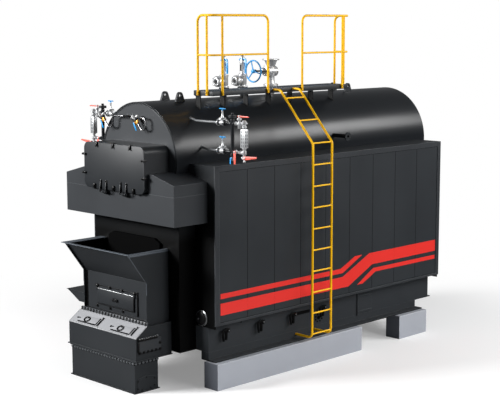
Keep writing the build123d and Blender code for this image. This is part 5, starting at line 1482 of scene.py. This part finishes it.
# Pressure gauges: each a black-rimmed dial on a cock, carried by a siphon pipe that comes
# out of the drum's head and loops once to keep the hot steam away.
cock_brass = paint("cock_brass", (0.92, 0.46, 0.08), 0.32, broad=9, metallic=0.35,
                   rounding=0.001, edge=(0.98, 0.70, 0.30))
dial_white = paint("dial_white", (0.86, 0.86, 0.86), 0.4, spread=0.02)
pipe_steel = paint("siphon_steel", (0.30, 0.30, 0.31), 0.24, broad=6, spread=0.05, metallic=1.0,
                   rounding=0.001)
siphon_y = -0.294
siphon_height = 3.611
dial_back = Vector((0.72, 0.25, 0.65)).normalized()
for side_name, route, dial, knot in (
    ("left", ((-0.200, 0), (-0.440, -0.006), (-0.460, -0.160), (-0.560, -0.160),
              (-0.646, -0.062)), (-0.702, -0.014), -0.652),
    ("right", ((0.110, 0), (0.240, -0.012), (0.248, -0.156), (0.160, -0.172),
               (0.080, -0.062)), (0.030, -0.012), 0.066),
):
    gauge_node = f"pressure_gauge_{side_name}"
    siphon = bmesh.new()
    points = [spot(across, siphon_y, siphon_height + rise) for across, rise in route]
    start = spot(route[0][0], drum_front + 0.004, siphon_height + route[0][1])
    bent(siphon, [[start, *points]], 0.025, 0.044, pipe_steel, 16)
    piece(f"{gauge_node}_siphon", siphon, pipe_steel, "boiler", "gauge_brass", gauge_node,
          crease=50)
    centre = spot(dial[0], siphon_y - 0.008, siphon_height + dial[1])
    bezel = bmesh.new()
    turned(bezel, centre - 0.020 * dial_back, dial_back, [
        (0.004, 0.046), (0.000, 0.048), (-0.004, 0.052), (-0.002, 0.056), (0.010, 0.056),
        (0.012, 0.052), (0.012, 0)], 36)
    union = spot(knot, siphon_y, siphon_height - 0.026)
    turned(bezel, union, (-0.2, 0, 1), [
        (-0.016, 0.014), (-0.013, 0.021), (0.013, 0.021), (0.016, 0.014)], 8)
    piece(f"{gauge_node}_bezel", bezel, black_steel, "boiler", "gauge_brass", gauge_node)
    case = bmesh.new()
    turned(case, centre - 0.007 * dial_back, dial_back, [
        (0, 0.051), (0.006, 0.051), (0.014, 0.044), (0.018, 0.030), (0.019, 0)], 36)
    stem_foot = centre + 0.010 * dial_back + Vector((0.018, 0, 0.004))
    turned(case, stem_foot, dial_back, [
        (0, 0.014), (0.036, 0.014), (0.038, 0.010), (0.038, 0)], 20)
    piece(f"{gauge_node}_case", case, dial_white, "boiler", "gauge_brass", gauge_node)
    face = bmesh.new()
    turned(face, centre - 0.0205 * dial_back, dial_back, [
        (0, 0.0475), (0.004, 0.0475), (0.004, 0)], 36)
    piece(f"{gauge_node}_dial", face, dial_white, "boiler", "gauge_brass", gauge_node)
    cock = bmesh.new()
    plate(cock, (knot, siphon_y + 0.018, siphon_height - 0.070), (0, -0.036, 0), (
        (-0.009, 0.034), (0.009, 0.034), (0.034, 0.009), (0.034, -0.009), (0.009, -0.034),
        (-0.009, -0.034), (-0.034, -0.009), (-0.034, 0.009),
    ))
    turned(cock, spot(knot - 0.014, siphon_y, siphon_height - 0.084), frontward, [
        (0, 0.016), (0.030, 0.016), (0.033, 0.011), (0.036, 0.011), (0.036, 0)], 20)
    piece(f"{gauge_node}_cock", cock, cock_brass, "boiler", "gauge_brass", gauge_node,
          soften=0.003)
    lever = bmesh.new()
    plate(lever, (knot, siphon_y - 0.037, siphon_height), (0, -0.005, 0), (
        (-0.026, -0.074), (-0.010, -0.072), (0.004, -0.098), (0.046, -0.176), (0.036, -0.184),
        (0.024, -0.180), (-0.016, -0.108), (-0.030, -0.088),
    ))
    piece(f"{gauge_node}_lever", lever, handle_blue, "boiler", "valve_paint", gauge_node,
          soften=0.001)

# Sight ports: two round fire peep holes low on the casing's front, each a bright turned
# ring, pressed in, round a black steel cover with a small knob.
port_height = 0.936
for across, side_name in ((-1.022, "left"), (1.022, "right")):
    ring = bmesh.new()
    turned(ring, spot(across, 0, port_height), frontward, [
        (0, 0.104), (0.002, 0.110), (0.008, 0.110), (0.012, 0.104), (0.013, 0.090),
        (0.013, 0)], 48)
    knob = spot(across - 0.030, -0.030, 0.930)
    turned(ring, knob, frontward, [
        (0, 0.010), (0.008, 0.012), (0.014, 0.008), (0.015, 0)], 16)
    piece(f"sight_port_ring_{side_name}", ring, bright_steel, "boiler", "dark_steel",
          "sight_ports")
    cover = bmesh.new()
    turned(cover, spot(across, -0.012, port_height), frontward, [
        (0, 0.092), (0.018, 0.088), (0.022, 0.080), (0.023, 0.050), (0.019, 0.046),
        (0.019, 0)], 48)
    piece(f"sight_port_cover_{side_name}", cover, black_steel, "boiler", "dark_steel",
          "sight_ports")

# Nozzle nuts: four black hex nuts on the drum's side of the nozzle's flange, ready to
# clamp the flange of the next pipe on it.
nozzle_nuts = bolt_circle(spot(1.044, 2.934, 3.200), -rightward, 0.047, 4)
fasteners("nozzle_nuts", nozzle_nuts, 0.016, black_steel, "boiler", "dark_steel")
